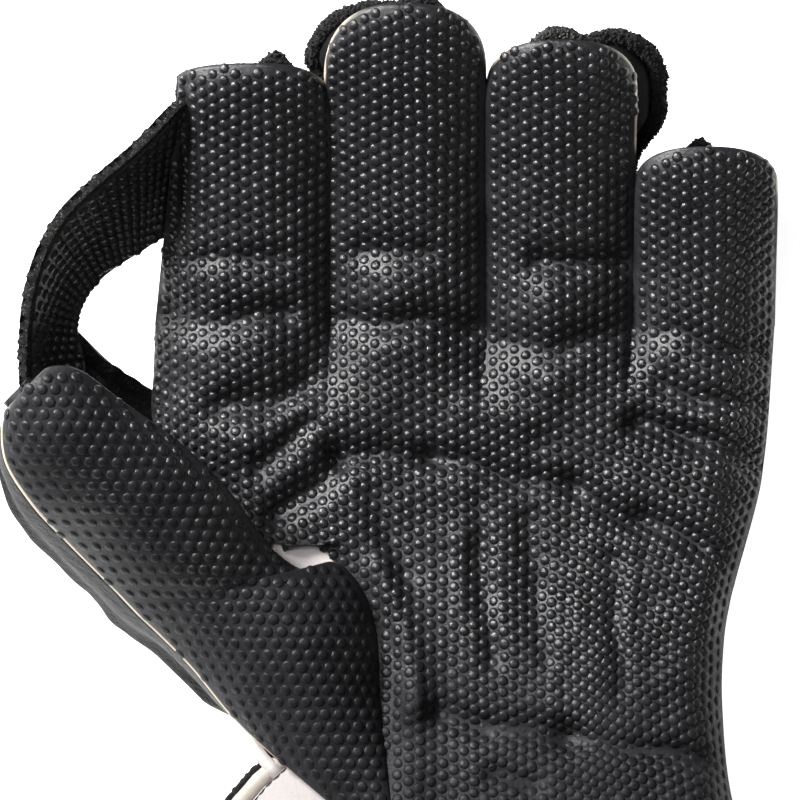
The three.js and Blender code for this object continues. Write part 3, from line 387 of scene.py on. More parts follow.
def thumb_field(x, y):
    """Height of the thumb facing over the plan, and how far a place lies inside its outline, in mm."""
    share, row = ruled_place(THUMB_ROWS, 4, x, y)
    left_x, left_y, _, _, right_x, right_y, _ = rail(THUMB_ROWS, row)
    width = np.hypot(PALM_WIDTH * (right_x - left_x), HAND_LENGTH * (right_y - left_y))
    beyond = (row > len(THUMB_ROWS) - 1.05) | (row < 0.02)
    inside = np.where(beyond, -1.0, np.minimum(share, 1 - share) * width)
    return thumb_sheet(np.clip(share, 0, 1), row)[..., 2], inside


def field_normals(field, x, y):
    """Unit normals of a height field from its slopes over a tenth of a mm."""
    step = 0.12
    slope_x = (field(x + step, y)[0] - field(x - step, y)[0]) / (2 * step)
    slope_y = (field(x, y + step)[0] - field(x, y - step)[0]) / (2 * step)
    return unit(stack(-slope_x, -slope_y, np.ones_like(slope_x)))


def palm_bend(x, y):
    """Columns right of the middle lean in with the palm's right side, by a share that grows with x."""
    rows = np.array(PALM_ROWS)
    edge = np.interp(-y, HAND_LENGTH * rows[:, 3], PALM_WIDTH * rows[:, 2])
    return x + (edge - 0.5 * PALM_WIDTH) * smooth((x - 5) / 66)


def lattice(field, line_at, along_low, along_high, pitch, upright, margin, seed):
    """Places and normals of pimples. On each line, upright or level, the places are an equal distance
    apart along the bent surface, and every second line is shifted by half of that."""
    step, steepest, spread = 0.3, 0.45, 6
    fine = np.arange(along_low, along_high, step)
    along, across = np.meshgrid(fine, line_at)
    x, y = (palm_bend(across, np.minimum(along, 0)), along) if upright else (along, across)
    height, _ = field(x, y)
    step = np.hypot(step, np.clip(np.diff(height, axis=1), -steepest, steepest))
    wide = np.pad(step, ((spread, spread), (0, 0)), mode="edge")
    step = sum(wide[k:k + len(step)] for k in range(2 * spread + 1)) / (2 * spread + 1)
    length = np.concatenate([np.zeros((len(line_at), 1)), np.cumsum(step, axis=1)], axis=1)
    found_x, found_y = [], []
    for order, (line, one) in enumerate(zip(line_at, length)):
        zero = np.interp(0.0 if upright else along_high, fine, one)
        marks = (np.arange(-90, 90) + 0.5 * (order % 2)) * pitch + zero
        marks = marks[(marks > one[0]) & (marks < one[-1])]
        spot = np.interp(marks, one, fine)
        found_x.append(np.full_like(spot, line) if upright else spot)
        found_y.append(spot if upright else np.full_like(spot, line))
    x, y = np.concatenate(found_x), np.concatenate(found_y)
    x = palm_bend(x, np.minimum(y, 0)) if upright else x
    x, y = x + 0.22 * ripple(x, y, 17, seed), y + 0.22 * ripple(x, y, 19, seed + 1)
    height, inside = field(x, y)
    kept = inside > margin
    x, y, height = x[kept], y[kept], height[kept]
    return stack(x, y, height), field_normals(field, x, y)


def worn(points):
    """How matt the rubber is, 0 to 1: rising towards the wrist and the mound of the thumb, in patches."""
    x, y = points[:, 0], points[:, 1]
    wrist = smooth((-y - 58) / 44)
    mound = np.maximum(0.9 * smooth((-20 - x - 0.12 * y) / 22) * smooth((-y - 38) / 30),
                       0.75 * smooth((-88 - 0.887 * x - y) / 10))
    edge = 0.8 * smooth((x - 42) / 20) * smooth((-y - 40) / 25)
    return np.clip(np.maximum(np.maximum(wrist, mound), edge) + 0.25 * ripple(x, y, 30, 41), 0, 1)


def palm_columns():
    """x of the pimple columns: equal distances along the four bent finger roots."""
    x = np.arange(-PALM_WIDTH / 2, PALM_WIDTH / 2, 0.1)
    drop = root_drop(x / PALM_WIDTH + 0.5, np.full_like(x, 0.9))
    steeper = 1 + 0.25 * smooth((x[1:] / PALM_WIDTH - 0.41) / 0.05)
    length = np.concatenate([[0], np.cumsum(np.hypot(0.1, steeper * np.diff(drop)))])
    return np.interp(np.arange(0.9, length[-1] - 0.5, PALM_COLUMN_PITCH), length, x)


def path_lengths(path):
    """Length of a path of points up to each of them."""
    return np.concatenate([[0], np.cumsum(np.linalg.norm(np.diff(path, axis=0), axis=1))])


def on_path(path, at):
    """Points at given lengths along a path."""
    reach = path_lengths(path)
    return np.stack([np.interp(at, reach, column) for column in path.T], axis=1)


# ---------------------------------------------------------------- meshes


def cells_between(number):
    """Corners of the cells of a grid of point numbers, anticlockwise from outside."""
    corners = number[:-1, :-1], number[:-1, 1:], number[1:, 1:], number[1:, :-1]
    return np.stack(corners, axis=2).reshape(-1, 4)


def cells_of(rows, columns, flip=False):
    """The same for a grid whose points are numbered row by row, or the other way round."""
    cells = cells_between(np.arange((rows + 1) * (columns + 1)).reshape(rows + 1, columns + 1))
    return cells[:, ::-1] if flip else cells


def vertex_normals(points, cells):
    """Unit normals: the sum of the crossed diagonals of the cells round each point."""
    across = np.cross(points[cells[:, 2]] - points[cells[:, 0]], points[cells[:, 3]] - points[cells[:, 1]])
    normals = np.zeros_like(points)
    for corner in range(4):
        np.add.at(normals, cells[:, corner], across)
    return unit(normals)


def skin(points, cells, thickness, steer=None, inner=None):
    """A closed wall: the outer points, the same points moved inwards along the normals, which steer turns,
    or inner points that are given, and rims between."""
    if inner is None:
        normals = vertex_normals(points, cells)
        inner = points - (unit(steer(normals)) if steer else normals) * thickness
    count = len(points)
    starts, ends = cells.ravel(), np.roll(cells, -1, axis=1).ravel()
    free = ~np.isin(starts * count + ends, ends * count + starts)
    a, b = starts[free], ends[free]
    rims = np.stack([b, a, a + count, b + count], axis=1)
    return np.concatenate([points, inner]), np.concatenate([cells, cells[:, ::-1] + count, rims])


def grid_shares(rows, columns):
    """Shares across and along at the points of a grid."""
    return np.meshgrid(np.linspace(0, 1, columns + 1), np.linspace(0, 1, rows + 1))


def surface(rows, columns, point_at):
    """Points of a surface given as a function of two shares, on a grid of rows and columns."""
    return point_at(*grid_shares(rows, columns)).reshape(-1, 3)


def level_rims(rows, columns):
    """Levels the directions on the two side rims of a grid."""
    rim = np.arange((rows + 1) * (columns + 1)) % (columns + 1) % columns == 0
    return lambda normals: normals * np.where(rim[:, None], (1, 1, 0), 1)


def circles(first, second, sides):
    """Circles of that many points, turned from the first directions to the second."""
    turn = 2 * np.pi * np.arange(sides)[:, None] / sides
    return first[:, None] * np.cos(turn) + second[:, None] * np.sin(turn)


def studs(places, normals, radius, height, profile, sides, seed, spread=0.05):
    """Small round knobs, one at each place: rings of the profile (share of radius, share of height) round
    its normal, closed by a point on top. Sizes differ by the spread, from a seeded choice."""
    chance = np.random.default_rng(seed)
    normals = unit(normals + 1.2 * spread * chance.normal(size=normals.shape))
    first = unit(np.cross(normals, (0.0, 1.0, 0.0)))
    circle = circles(first, np.cross(normals, first), sides)
    wide, tall = (size * (1 + spread * chance.uniform(-1, 1, len(places))) for size in (radius, height))
    rings = [places[:, None] + circle * (wide * out)[:, None, None] + (normals * (tall * up)[:, None])[:, None]
             for out, up in profile[:-1]]
    top = places + normals * (tall * profile[-1][1])[:, None]
    points = np.concatenate([*rings, top[:, None]], axis=1).reshape(-1, 3)
    last = (len(rings) - 1) * sides
    k = np.arange(sides)
    after = (k + 1) % sides
    quads = np.concatenate([np.stack([low + k, low + after, low + sides + after, low + sides + k], axis=1)
                            for low in range(0, last, sides)])
    caps = np.stack([last + k, last + after, np.full(sides, last + sides)], axis=1)
    shift = (np.arange(len(places)) * (last + sides + 1))[:, None, None]
    return points, [(quads + shift).reshape(-1, 4), (caps + shift).reshape(-1, 3)]


def bar(path, radius, sides):
    """A round bar: a circle carried along a path of points, square to it, with closed ends."""
    along = unit(np.gradient(path, axis=0))
    across = unit(np.cross(along, (0.0, 0.0, 1.0)))
    circle = circles(across, np.cross(across, along), sides)
    points = (path[:, None] + circle * np.broadcast_to(radius, len(path))[:, None, None]).reshape(-1, 3)
    points = np.concatenate([points, path[:1], path[-1:]])
    step, k = np.arange(len(path) - 1)[:, None] * sides, np.arange(sides)
    after = (k + 1) % sides
    quads = np.stack([step + k, step + sides + k, step + sides + after, step + after], axis=2).reshape(-1, 4)
    end = (len(path) - 1) * sides
    caps = [np.stack([*corners, np.full(sides, len(points) - back)], axis=1)
            for corners, back in (((k, after), 2), ((end + after, end + k), 1))]
    return points, [quads, np.concatenate(caps)]


def make_piece(name, points, faces, look, slot, backing=None, **values):
    """One mesh piece in metres, riding on the glove. faces holds arrays of 3 or 4 corners a row, and
    values are numbers kept at the points for the material to read, or functions that give them. A backing
    is the look of all faces of a wall but its outer ones."""
    faces = faces if isinstance(faces, list) else [faces]
    mesh = bpy.data.meshes.new(name)
    corners = np.concatenate([f.ravel() for f in faces]).astype(np.int32)
    totals = np.concatenate([np.full(len(f), f.shape[1]) for f in faces]).astype(np.int32)
    mesh.vertices.add(len(points))
    mesh.vertices.foreach_set("co", ((points + ORIGIN) * 0.001).astype(np.float32).ravel())
    mesh.loops.add(len(corners))
    mesh.loops.foreach_set("vertex_index", corners)
    mesh.polygons.add(len(totals))
    mesh.polygons.foreach_set("loop_start", (np.cumsum(totals) - totals).astype(np.int32))
    mesh.polygons.foreach_set("use_smooth", np.ones(len(totals), bool))
    for key, value in values.items():
        value = value(points) if callable(value) else np.broadcast_to(value, len(points))
        mesh.attributes.new(key, "FLOAT", "POINT").data.foreach_set("value", value.astype(np.float32))
    mesh.materials.append(look)
    if backing:
        mesh.materials.append(backing)
        outer = (faces[0].max(axis=1) < len(points) // 2).astype(np.int32)
        mesh.polygons.foreach_set("material_index", 1 - outer)
    mesh.update(calc_edges=True)
    mesh.validate()
    piece = bpy.data.objects.new(name, mesh)
    bpy.context.scene.collection.objects.link(piece)
    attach(piece, "root")
    return piece


def wall(name, grid, point_at, thickness, look, slot, flip=True, steer=None, backing=None, **values):
    """A piece that is a closed wall inwards from a surface, which is a function of two shares."""
    points, faces = skin(surface(*grid, point_at), cells_of(*grid, flip), thickness, steer)
    return make_piece(name, points, faces, look, slot, backing, **values)


def as_sheet(piece):
    """Reads the corners of the triangles of a piece's mesh, and does nothing more with them."""
    mesh = piece.data
    mesh.calc_loop_triangles()
    numbers = np.empty(len(mesh.loop_triangles) * 3, np.int32)
    mesh.loop_triangles.foreach_get("vertices", numbers)
    points = np.empty(len(mesh.vertices) * 3, np.float32)
    mesh.vertices.foreach_get("co", points)
    a, b, c = points.reshape(-1, 3)[numbers.reshape(-1, 3)].transpose(1, 0, 2)


# ---------------------------------------------------------------- materials


def make_look(name, colour, roughness, gloss, tint=(), bumps=(), rough=(), stain=(), dull=(), sheen=0.0):
    """A Principled material on Object coordinates. A noise is its waves a metre, detail and roughness.

    tint: a noise, from and to which value it turns one colour into another, and the two colours.
    bumps: over each other, each a noise, or the number of round cells a metre, a strength and a height in m.
    rough: a noise and the roughness at its two ends. stain: a second colour, and the name of the numbers at
    the points that show it, or a noise with its two ends. dull: gloss and roughness of a duller shader with
    the same colour and normal, mixed in by the numbers worn."""
    material = bpy.data.materials.new(name)
    material.use_nodes = True
    tree = material.node_tree
    shader = tree.nodes["Principled BSDF"]
    coordinates = tree.nodes.new("ShaderNodeTexCoord").outputs["Object"]

    def fill(made, inputs):
        for key, value in inputs.items():
            if isinstance(value, bpy.types.NodeSocket):
                tree.links.new(value, made.inputs[key])
            else:
                made.inputs[key].default_value = (*value, 1) if isinstance(value, tuple) else value
        return made

    def node(kind, output, inputs, **settings):
        made = tree.nodes.new("ShaderNode" + kind)
        for key, value in settings.items():
            setattr(made, key, value)
        return fill(made, inputs).outputs[output]

    def noise(scale, detail=None, coarse=None):
        if detail is None:
            return node("TexVoronoi", "Distance", {"Vector": coordinates, "Scale": scale}, feature="F1")
        inputs = {"Vector": coordinates, "Scale": scale, "Detail": detail, "Roughness": coarse}
        return node("TexNoise", "Fac", inputs)

    fill(shader, {"Base Color": colour, "Roughness": roughness, "Specular IOR Level": gloss,
                  "Sheen Weight": sheen})
    tone = normal = None
    if tint:
        made = tree.nodes.new("ShaderNodeValToRGB")
        tone = fill(made, {"Fac": noise(*tint[0])}).outputs["Color"]
        for element, position, shade in zip(made.color_ramp.elements, tint[1:3], tint[3:]):
            element.position, element.color = position, (*shade, 1)
    if stain:
        shown, stain_colour = stain
        if isinstance(shown, str):
            share = node("Attribute", "Fac", {}, attribute_name=shown)
        else:
            inputs = {"Value": noise(*shown[0]), "From Min": shown[1], "From Max": shown[2]}
            share = node("MapRange", "Result", inputs)
        tone = node("Mix", 2, {0: share, 6: tone, 7: stain_colour}, data_type="RGBA")
    if tone:
        fill(shader, {"Base Color": tone})
    if rough:
        inputs = {"Value": noise(*rough[0]), "To Min": rough[1], "To Max": rough[2]}
        fill(shader, {"Roughness": node("MapRange", "Result", inputs)})
    for grain, strength, distance in bumps:
        inputs = {"Height": noise(*grain), "Strength": strength, "Distance": distance}
        normal = node("Bump", "Normal", inputs if normal is None else {**inputs, "Normal": normal})
    if normal:
        fill(shader, {"Normal": normal})
    if dull:
        matt = node("BsdfPrincipled", 0, {"Specular IOR Level": dull[0], "Roughness": dull[1],
                                          "Base Color": tone, "Normal": normal})
        share = node("Attribute", "Fac", {}, attribute_name="worn")
        both = node("MixShader", 0, {0: share, 1: shader.outputs[0], 2: matt})
        tree.links.new(both, tree.nodes["Material Output"].inputs["Surface"])
    return material


PORES = (((1500,), 0.25, 0.00012), ((110, 4, 0.6), 0.35, 0.0007))
# Black moulded rubber: satin, slightly dusty, with a fine grain and a cream cut edge
RUBBER_LOOK = make_look(
    "black_rubber", (0.02, 0.02, 0.022), 0.4, 0.5,
    ((55, 4, 0.6), 0.35, 0.7, (0.008, 0.008, 0.0095), (0.02, 0.02, 0.0225)),
    (((1400, 4, 0.75), 0.6, 0.00026), ((420, 3, 0.6), 0.4, 0.0005)),
    ((450, 4, 0.7), 0.22, 0.5), ("cut_edge", (0.62, 0.53, 0.4)), (0.16, 0.5))
# The pimples of the same rubber, worn a little smoother on top
PIMPLE_LOOK = make_look(
    "rubber_pimples", (0.016, 0.016, 0.018), 0.36, 0.5,
    ((70, 4, 0.6), 0.35, 0.7, (0.007, 0.007, 0.008), (0.016, 0.016, 0.0175)),
    (((1400, 4, 0.75), 0.55, 0.00022), ((600, 3, 0.6), 0.35, 0.0005)),
    ((500, 4, 0.7), 0.12, 0.42), dull=(0.16, 0.48))
# Soft black leather: pebbled grain of 1 mm cells, fine wrinkles, satin
LEATHER_LOOK = make_look(
    "black_leather", (0.01, 0.01, 0.011), 0.5, 0.16,
    ((90, 4, 0.6), 0.3, 0.75, (0.002, 0.002, 0.0023), (0.006, 0.006, 0.0068)),
    (((1200,), 0.5, 0.0003), ((260, 5, 0.7), 0.9, 0.0012)), ((500, 3, 0.6), 0.4, 0.6))
# Matt dark knit of the side walls
GUSSET_LOOK = make_look(
    "gusset_knit", (0.008, 0.008, 0.009), 0.85, 0.12,
    ((140, 3, 0.6), 0.3, 0.7, (0.003, 0.003, 0.0035), (0.009, 0.009, 0.01)),
    (((2300,), 0.4, 0.0002), ((200, 3, 0.6), 0.3, 0.0005)))
# Black pile: rough, nearly no gloss, a faint sheen
PILE_LOOK = make_look(
    "black_pile", (0.009, 0.009, 0.0095), 0.95, 0.15,
    ((900, 3, 0.6), 0.35, 0.7, (0.003, 0.003, 0.0032), (0.012, 0.012, 0.0125)),
    (((2500, 3, 0.7), 0.9, 0.0005),), sheen=0.12)
# White leather with a warm pink cast, duller where it is rubbed, fine pores and shallow wrinkles
WHITE_LOOK = make_look(
    "white_leather", (0.8, 0.73, 0.71), 0.55, 0.4,
    ((40, 4, 0.6), 0.3, 0.7, (0.4, 0.365, 0.355), (0.46, 0.425, 0.415)), PORES,
    ((300, 3, 0.6), 0.42, 0.65), (((120, 5, 0.7), 0.55, 0.8), (0.33, 0.3, 0.285)))
# Cream leather of the rolled border, creased across
CREAM_LOOK = make_look(
    "cream_roll", (0.74, 0.66, 0.54), 0.6, 0.35,
    ((160, 4, 0.6), 0.3, 0.7, (0.34, 0.305, 0.265), (0.42, 0.385, 0.345)), (((700, 4, 0.6), 0.4, 0.0004),))
# Cut edge of the web's backing: grey fibres in black
EDGE_LOOK = make_look(
    "grey_edge", (0.1, 0.1, 0.095), 0.9, 0.2,
    ((1700, 4, 0.75), 0.56, 0.72, (0.008, 0.008, 0.008), (0.26, 0.25, 0.23)), (((2600, 3, 0.7), 1.0, 0.0006),))
# Twisted thread: fine ridges from dense noise
THREAD_LOOK = make_look("black_thread", (0.012, 0.012, 0.013), 0.7, 0.3, bumps=(((3500, 2, 0.6), 0.6, 0.0001),))
# Frayed threads, black to pale grey along their length
TUFT_LOOK = make_look("grey_threads", (0.1, 0.1, 0.1), 0.8, 0.2,
                      ((1900, 3, 0.7), 0.5, 0.66, (0.008, 0.008, 0.008), (0.26, 0.26, 0.25)))
# The white leather in the hole at the root of the thumb, painted brighter than the hand's white leather to make
# up for the shade that falls in the hole
BRIGHTENED_HOLE_LOOK = make_look("white_gusset_painted_light", (0.9, 0.84, 0.82), 0.6, 0.3,
                      ((90, 4, 0.6), 0.3, 0.7, (0.84, 0.77, 0.75), (0.94, 0.88, 0.86)), PORES)

# ---------------------------------------------------------------- facings of palm and thumb


def pimples(name, places, normals, radius, height, seed, dullness=worn):
    """A piece of low domes of rubber."""
    points, faces = studs(places, normals, radius, height, KNOB, PIMPLE_SIDES, seed)
    return make_piece(name, points, faces, PIMPLE_LOOK, "pimpled_rubber", worn=dullness)


def cut_line(reach, width):
    """The cut edge shows up to about that width from the outline: 1, and past it 0."""
    return 1 - smooth((reach / width - 0.75) / 0.3)


def palm_facing():
    """The palm sheet and four tongues that share its first row of points."""
    per_finger, palm_rows, finger_rows = 34, 118, 62
    sides = side_position(np.arange(per_finger + 1) / per_finger)
    across = np.concatenate([mix(f["root_left"], f["root_right"], (sides[:-1] + 1) / 2) + 0.5
                             for f in FINGERS.values()] + [[1.0]])
    share, row = np.meshgrid(across, np.linspace(0, len(PALM_ROWS) - 1, palm_rows + 1))
    blocks = [palm_sheet(share, row).reshape(-1, 3)]
    cells = [cells_of(palm_rows, len(across) - 1, flip=True)]
    cut, count = [np.zeros(len(blocks[0]))], len(blocks[0])
    for order, finger in enumerate(FINGERS.values()):
        along, side = np.meshgrid(np.arange(1, finger_rows + 1) / finger_rows, sides, indexing="ij")
        x, y, part = finger_plan(finger, side, along, -SLIT_OVERLAP)
        blocks.append(stack(x, y, finger_top(finger, side, part, x, y)).reshape(-1, 3))
        number = count + np.arange(side.size).reshape(side.shape)
        root = np.arange(per_finger + 1)[None] + order * per_finger
        cells.append(cells_between(np.concatenate([root, number])))
        half = PALM_WIDTH * (finger["root_right"] - finger["root_left"]) / 2
        reach = np.minimum((1 - np.abs(side)) * half, (1 - along) * finger["length"] * FINGER_LENGTH)
        shown = np.zeros(side.shape)
        for name, hand, start, stop, width in CUT_EDGES:
            if name == finger["name"]:
                zone = smooth((part - start) / 0.05) * smooth((stop - part) / 0.05) * (side * hand > 0.45)
                shown = np.maximum(shown, zone * cut_line(reach, width))
        cut.append(shown.ravel())
        count += side.size
    points, faces = skin(np.concatenate(blocks), np.concatenate(cells), RUBBER)
    cut = np.concatenate(cut)
    return make_piece("palm_facing_rubber", points, faces, RUBBER_LOOK, "pimpled_rubber",
                      cut_edge=np.concatenate([cut, 0 * cut]), worn=worn)


def palm_pimples():
    """Upright staggered columns of pimples over palm and fingers."""
    places, normals = lattice(palm_field, palm_columns(), -130, 80, PALM_ROW_PITCH, True, 0.6, 21)
    height = PIMPLE_HEIGHT * (1 - 0.35 * worn(places)) * (1 + 0.2 * ripple(places[:, 0], places[:, 1], 7, 51))
    return pimples("palm_pimples", places, normals, PIMPLE_RADIUS, height, 31)


def thumb_facing():
    """The thumb sheet, with a cream cut edge along its left side."""
    grid = 130, 54
    u, v = grid_shares(*grid)
    width = mix(0.35, 0.62, smooth((v - 0.35) / 0.4))
    cut = cut_line((side_position(u) + 1) / 2 * THUMB_WIDTH, width) * smooth((v - 0.06) / 0.1)

    def point_at(u, v):
        return thumb_sheet((side_position(u) + 1) / 2, v * (len(THUMB_ROWS) - 1))
    return wall("thumb_facing_rubber", grid, point_at, RUBBER, RUBBER_LOOK, "pimpled_rubber", False,
                cut_edge=np.tile(cut.ravel(), 2), worn=worn)


def thumb_pimples():
    """Level staggered rows of pimples over the thumb and its mound."""
    lines = np.arange(-HAND_LENGTH * 1.1, -HAND_LENGTH * 0.08, THUMB_ROW_PITCH)
    places, normals = lattice(thumb_field, lines, -0.76 * PALM_WIDTH, -0.11 * PALM_WIDTH, THUMB_COLUMN_PITCH,
                              False, 0.35, 25)
    height = PIMPLE_HEIGHT * (0.95 - 0.3 * worn(places))
    return pimples("thumb_pimples", places, normals, PIMPLE_RADIUS * 1.05, height, 33)


palm = palm_facing()
palm_knobs = palm_pimples()
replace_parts(palm, "palm_facing")
as_sheet(palm)
thumb = thumb_facing()
thumb_knobs = thumb_pimples()
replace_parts(thumb, "thumb_facing")
as_sheet(thumb)

# ---------------------------------------------------------------- fingers


def back_plan(finger, side, along, inset, bulging=1.0):
    """Plan of gusset and padded back: the finger's plan, leaning to one side towards the tip, with one
    bulge of the pile past the tip: height times exp(-((side - middle) / width)^2)."""
    x, y, share = finger_plan(finger, side, along, inset)
    lean = smooth((share - finger["lean_from"]) / LEAN_SPAN)
    x = x + PALM_WIDTH * lean * (finger["shift"] + finger["over"] * side)
    middle, wide, high = TIP_BULGES[finger["name"]]
    bulge = bulging * high * np.exp(-(((side - middle) / wide) ** 2)) * along ** 10
    from_side, to_side = ROLLS[finger["name"]][2:]
    reach = smooth((side - from_side) / (to_side - from_side))
    return x, y + PALM_WIDTH * finger["top"] * lean * along * reach + bulge, share


def seam_height(finger, share):
    """Height where gusset and padded back meet, half way from the keel to the rubber's edge."""
    keel = finger["keel"] * PALM_DEPTH * share * share
    return mix(keel, finger_crown(finger, share) - SIDE_DROP, HEIGHT_OF_RIM)


def station(share):
    """Places along a finger's back, closer together towards the tip: a quarter of a sine."""
    return mix(ROOT_CLEAR, 1, np.sin(0.5 * np.pi * share))


def round_finger(steps, across):
    """Side and place along of a path up one side of a finger, round its tip and down the other side."""
    share, tip = np.arange(steps) / steps, np.arange(across + 1) / across
    side = np.concatenate([np.full(steps, -1.0), side_position(tip), np.full(steps, 1.0)])
    return side, np.concatenate([station(share), np.ones(across + 1), station(share[::-1])])


def finger_back(finger):
    """The padded back: a keel that rises to the tip, with sides and tip turned up to the seam."""
    grid = 54, 40

    def layer(inset, raised):
        def point_at(u, v):
            side, along = side_position(u), station(v)
            x, y, share = back_plan(finger, side, along, inset)
            keel = finger["keel"] * PALM_DEPTH * share * share + raised
            lift = 1 - (1 - np.abs(side) ** 3.5) * (1 - along ** 12)
            return stack(x, y, mix(keel, seam_height(finger, share) - FIT_GAP, lift))
        return surface(*grid, point_at)
    outer, cells = layer(GUSSET_INSET, 0.0), cells_of(*grid, flip=True)
    points, faces = skin(outer, cells, PADDING, inner=layer(GUSSET_INSET + PADDING, PADDING))
    return make_piece(f"{finger['name']}_back_pad", points, faces, PILE_LOOK, "black_pile"), outer, cells


def back_roll(finger):
    """The rounded rim of the padded back: a bar along its seam, up one side, round the tip and down."""
    inset, radius = ROLLS[finger["name"]][:2]
    x, y, part = back_plan(finger, *round_finger(50, 70), inset)
    path = stack(x, y, seam_height(finger, part) - 0.2)
    even = np.linspace(0, path_lengths(path)[-1], 150)
    return bar(on_path(path, even), radius + 0.2 * ripple(even, even, 6, 61), 14)


def tufts(name, outer, cells, spacing, seed):
    """Short pile on a grid surface: knobs at seeded places, as many on a cell as its area asks for."""
    chance = np.random.default_rng(seed)
    a, b, c, d = (outer[cells[:, corner]] for corner in range(4))
    area = np.linalg.norm(np.cross(c - a, d - b), axis=1) / 2
    number = np.arange(len(cells)).repeat(chance.poisson(area / spacing ** 2))
    s, t = chance.uniform(0, 1, (2, len(number), 1))
    places = mix(mix(a[number], b[number], s), mix(d[number], c[number], s), t)
    normals = vertex_normals(outer, cells)[cells[number, 0]]
    normals = unit(normals + 0.33 * chance.normal(size=(len(number), 3)))
    points, faces = studs(places, normals, 0.42 * spacing ** 0.4, 0.65, TUFT, 5, seed + 1, 0.45)
    points[:, 2] = np.maximum(points[:, 2], 0)
    make_piece(name, points, faces, PILE_LOOK, "black_pile")


def finger_gusset(finger):
    """The side wall, up one side, round the tip and down the other, from the seam to under the rubber."""
    side, along = round_finger(40, 30)
    high = 12
    t = np.linspace(0, 1, high + 1)[None, :, None]

    def layer(inset):
        x0, y0, s0 = back_plan(finger, side, along, inset + 1.6, 0.2)
        x1, y1, s1 = finger_plan(finger, side, along, inset)
        low = stack(x0, y0, seam_height(finger, s0) + SEAM_RISE)
        top = stack(x1, y1, finger_top(finger, side, s1, x1, y1) - GUSSET_TUCK * RUBBER - FIT_GAP)
        points = mix(low[:, None], top[:, None], t)
        fold = 0.5 * hump(t) * np.sin(2.5 * np.pi * t + 1.3 * ripple(points[..., 1:2], 0, 24, 63))
        points[..., 0:1] += fold * side[:, None, None]
        return points.reshape(-1, 3)
    points, faces = skin(layer(GUSSET_INSET), cells_of(len(side) - 1, high), LEATHER,
                         inner=layer(GUSSET_INSET + LEATHER))
    return make_piece(f"{finger['name']}_gusset_wall", points, faces, GUSSET_LOOK, "black_leather")


for order, (name, finger) in enumerate(FINGERS.items()):
    back, outer, cells = finger_back(finger)
    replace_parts(back, f"{name}_back")
    points, faces = back_roll(finger)
    roll = make_piece(f"{name}_back_roll", points, faces, PILE_LOOK, "black_pile")
    tufts(f"{name}_back_pile", outer, cells, 1.05, 50 + order)
    tufts(f"{name}_roll_pile", points, faces[0], 0.64 if order in (1, 2) else 0.9, 60 + order)
    gusset = finger_gusset(finger)
    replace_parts(gusset, f"{name}_gusset")
    as_sheet(gusset)


def ring_tuft():
    """Loose grey threads past the tip of the ring finger: thin cones in seeded directions."""
    chance, count = np.random.default_rng(73), 420
    side = chance.uniform(-0.68, -0.04, count)
    x, y, part = back_plan(FINGERS["ring"], side, np.ones(count), 1.2)
    y = y + chance.uniform(-0.6, 0.5, count)
    places = stack(x, y, seam_height(FINGERS["ring"], part) + chance.uniform(0.5, 2.5, count))
    ways = unit(stack(1.4 * (side + 0.36), 1.1, 0.5) + 0.35 * chance.normal(size=(count, 3)))
    points, faces = studs(places, ways, 0.13, 1.7, THREAD, 4, 74, 0.3)
    return make_piece("ring_tuft", points, faces, TUFT_LOOK, "black_pile")


ring_tuft()

# ---------------------------------------------------------------- backs of thumb and hand


def trough(left, right, floor, share, squareness):
    """From one rim down to a floor or keel and up to the other: a superellipse of that squareness."""
    turn = np.cos(np.pi * share)
    across = 0.5 * (1 - np.sign(turn) * np.abs(turn) ** (2 / squareness))
    lift = 1 - np.clip(hump(share), 0, 1) ** (2 / squareness)
    rim = np.where(share < 0.5, left[..., 2], right[..., 2])
    flat = mix(left[..., :2], right[..., :2], across[..., None])
    return stack(flat[..., 0], flat[..., 1], mix(floor, rim, lift))


def resting(left, right, share, squareness, uneven, length, seed):
    """A trough pressed flat on the floor, with shallow wrinkles on its sides."""
    point = trough(left, right, -0.02 * PALM_DEPTH, share, squareness)
    point[..., 0] += uneven * ripple(point[..., 1], point[..., 2], length, seed) * hump(share) ** 0.5
    point[..., 2] = np.maximum(point[..., 2], 0)
    return point


def thumb_back():
    """Black leather round the thumb's back: a trough between its rims, with pleats that run its length,
    drawn in to the middle of its rims by 1 - (1 - t^2)^0.5 over the last tenth, which closes the tip."""
    def point_at(u, v):
        row = v * (len(THUMB_BACK_ROWS) - 1)
        right_x, right_y, right_up, keel, bulge, follow = rail(THUMB_BACK_ROWS, row)
        tuck = mix(THUMB_TUCK * RUBBER + FIT_GAP, 0.4 * RUBBER, smooth((v - 0.86) / 0.1))
        left = place(*rail(THUMB_ROWS, row + 2)[:3])
        under = thumb_sheet(THUMB_WALL, row + 2)
        for rim in (left, under):
            rim[..., 2] -= tuck
        right = mix(place(right_x, right_y, right_up), under, np.clip(follow, 0, 1)[..., None])
        point = trough(left, right, keel * PALM_DEPTH, u, 2.6)
        out = unit((left - right) * np.array([1.0, 1.0, 0.0]))
        pleat = 0.02 * np.cos(6 * np.pi * u) * hump(u)
        wrinkle = 0.5 * np.sin(26 * u + 2.2 * np.sin(5 * v)) * hump(u) * smooth(4 * (1 - v))
        wrinkle = wrinkle + 0.35 * ripple(34 * u, 95 * v, 9, 71)
        shift = PALM_WIDTH * (bulge * hump(np.minimum(1, 1.6 * u)) + pleat) + wrinkle * hump(u)
        point = point + out * (shift * smooth(v / 0.04))[..., None]
        drawn = 1 - np.sqrt(1 - 0.999 * np.clip((v - 0.9) / 0.1, 0, 1) ** 2)
        return mix(point, (left + right) / 2, drawn[..., None])
    return wall("thumb_back_leather", (130, 64), point_at, LEATHER, LEATHER_LOOK, "black_leather")


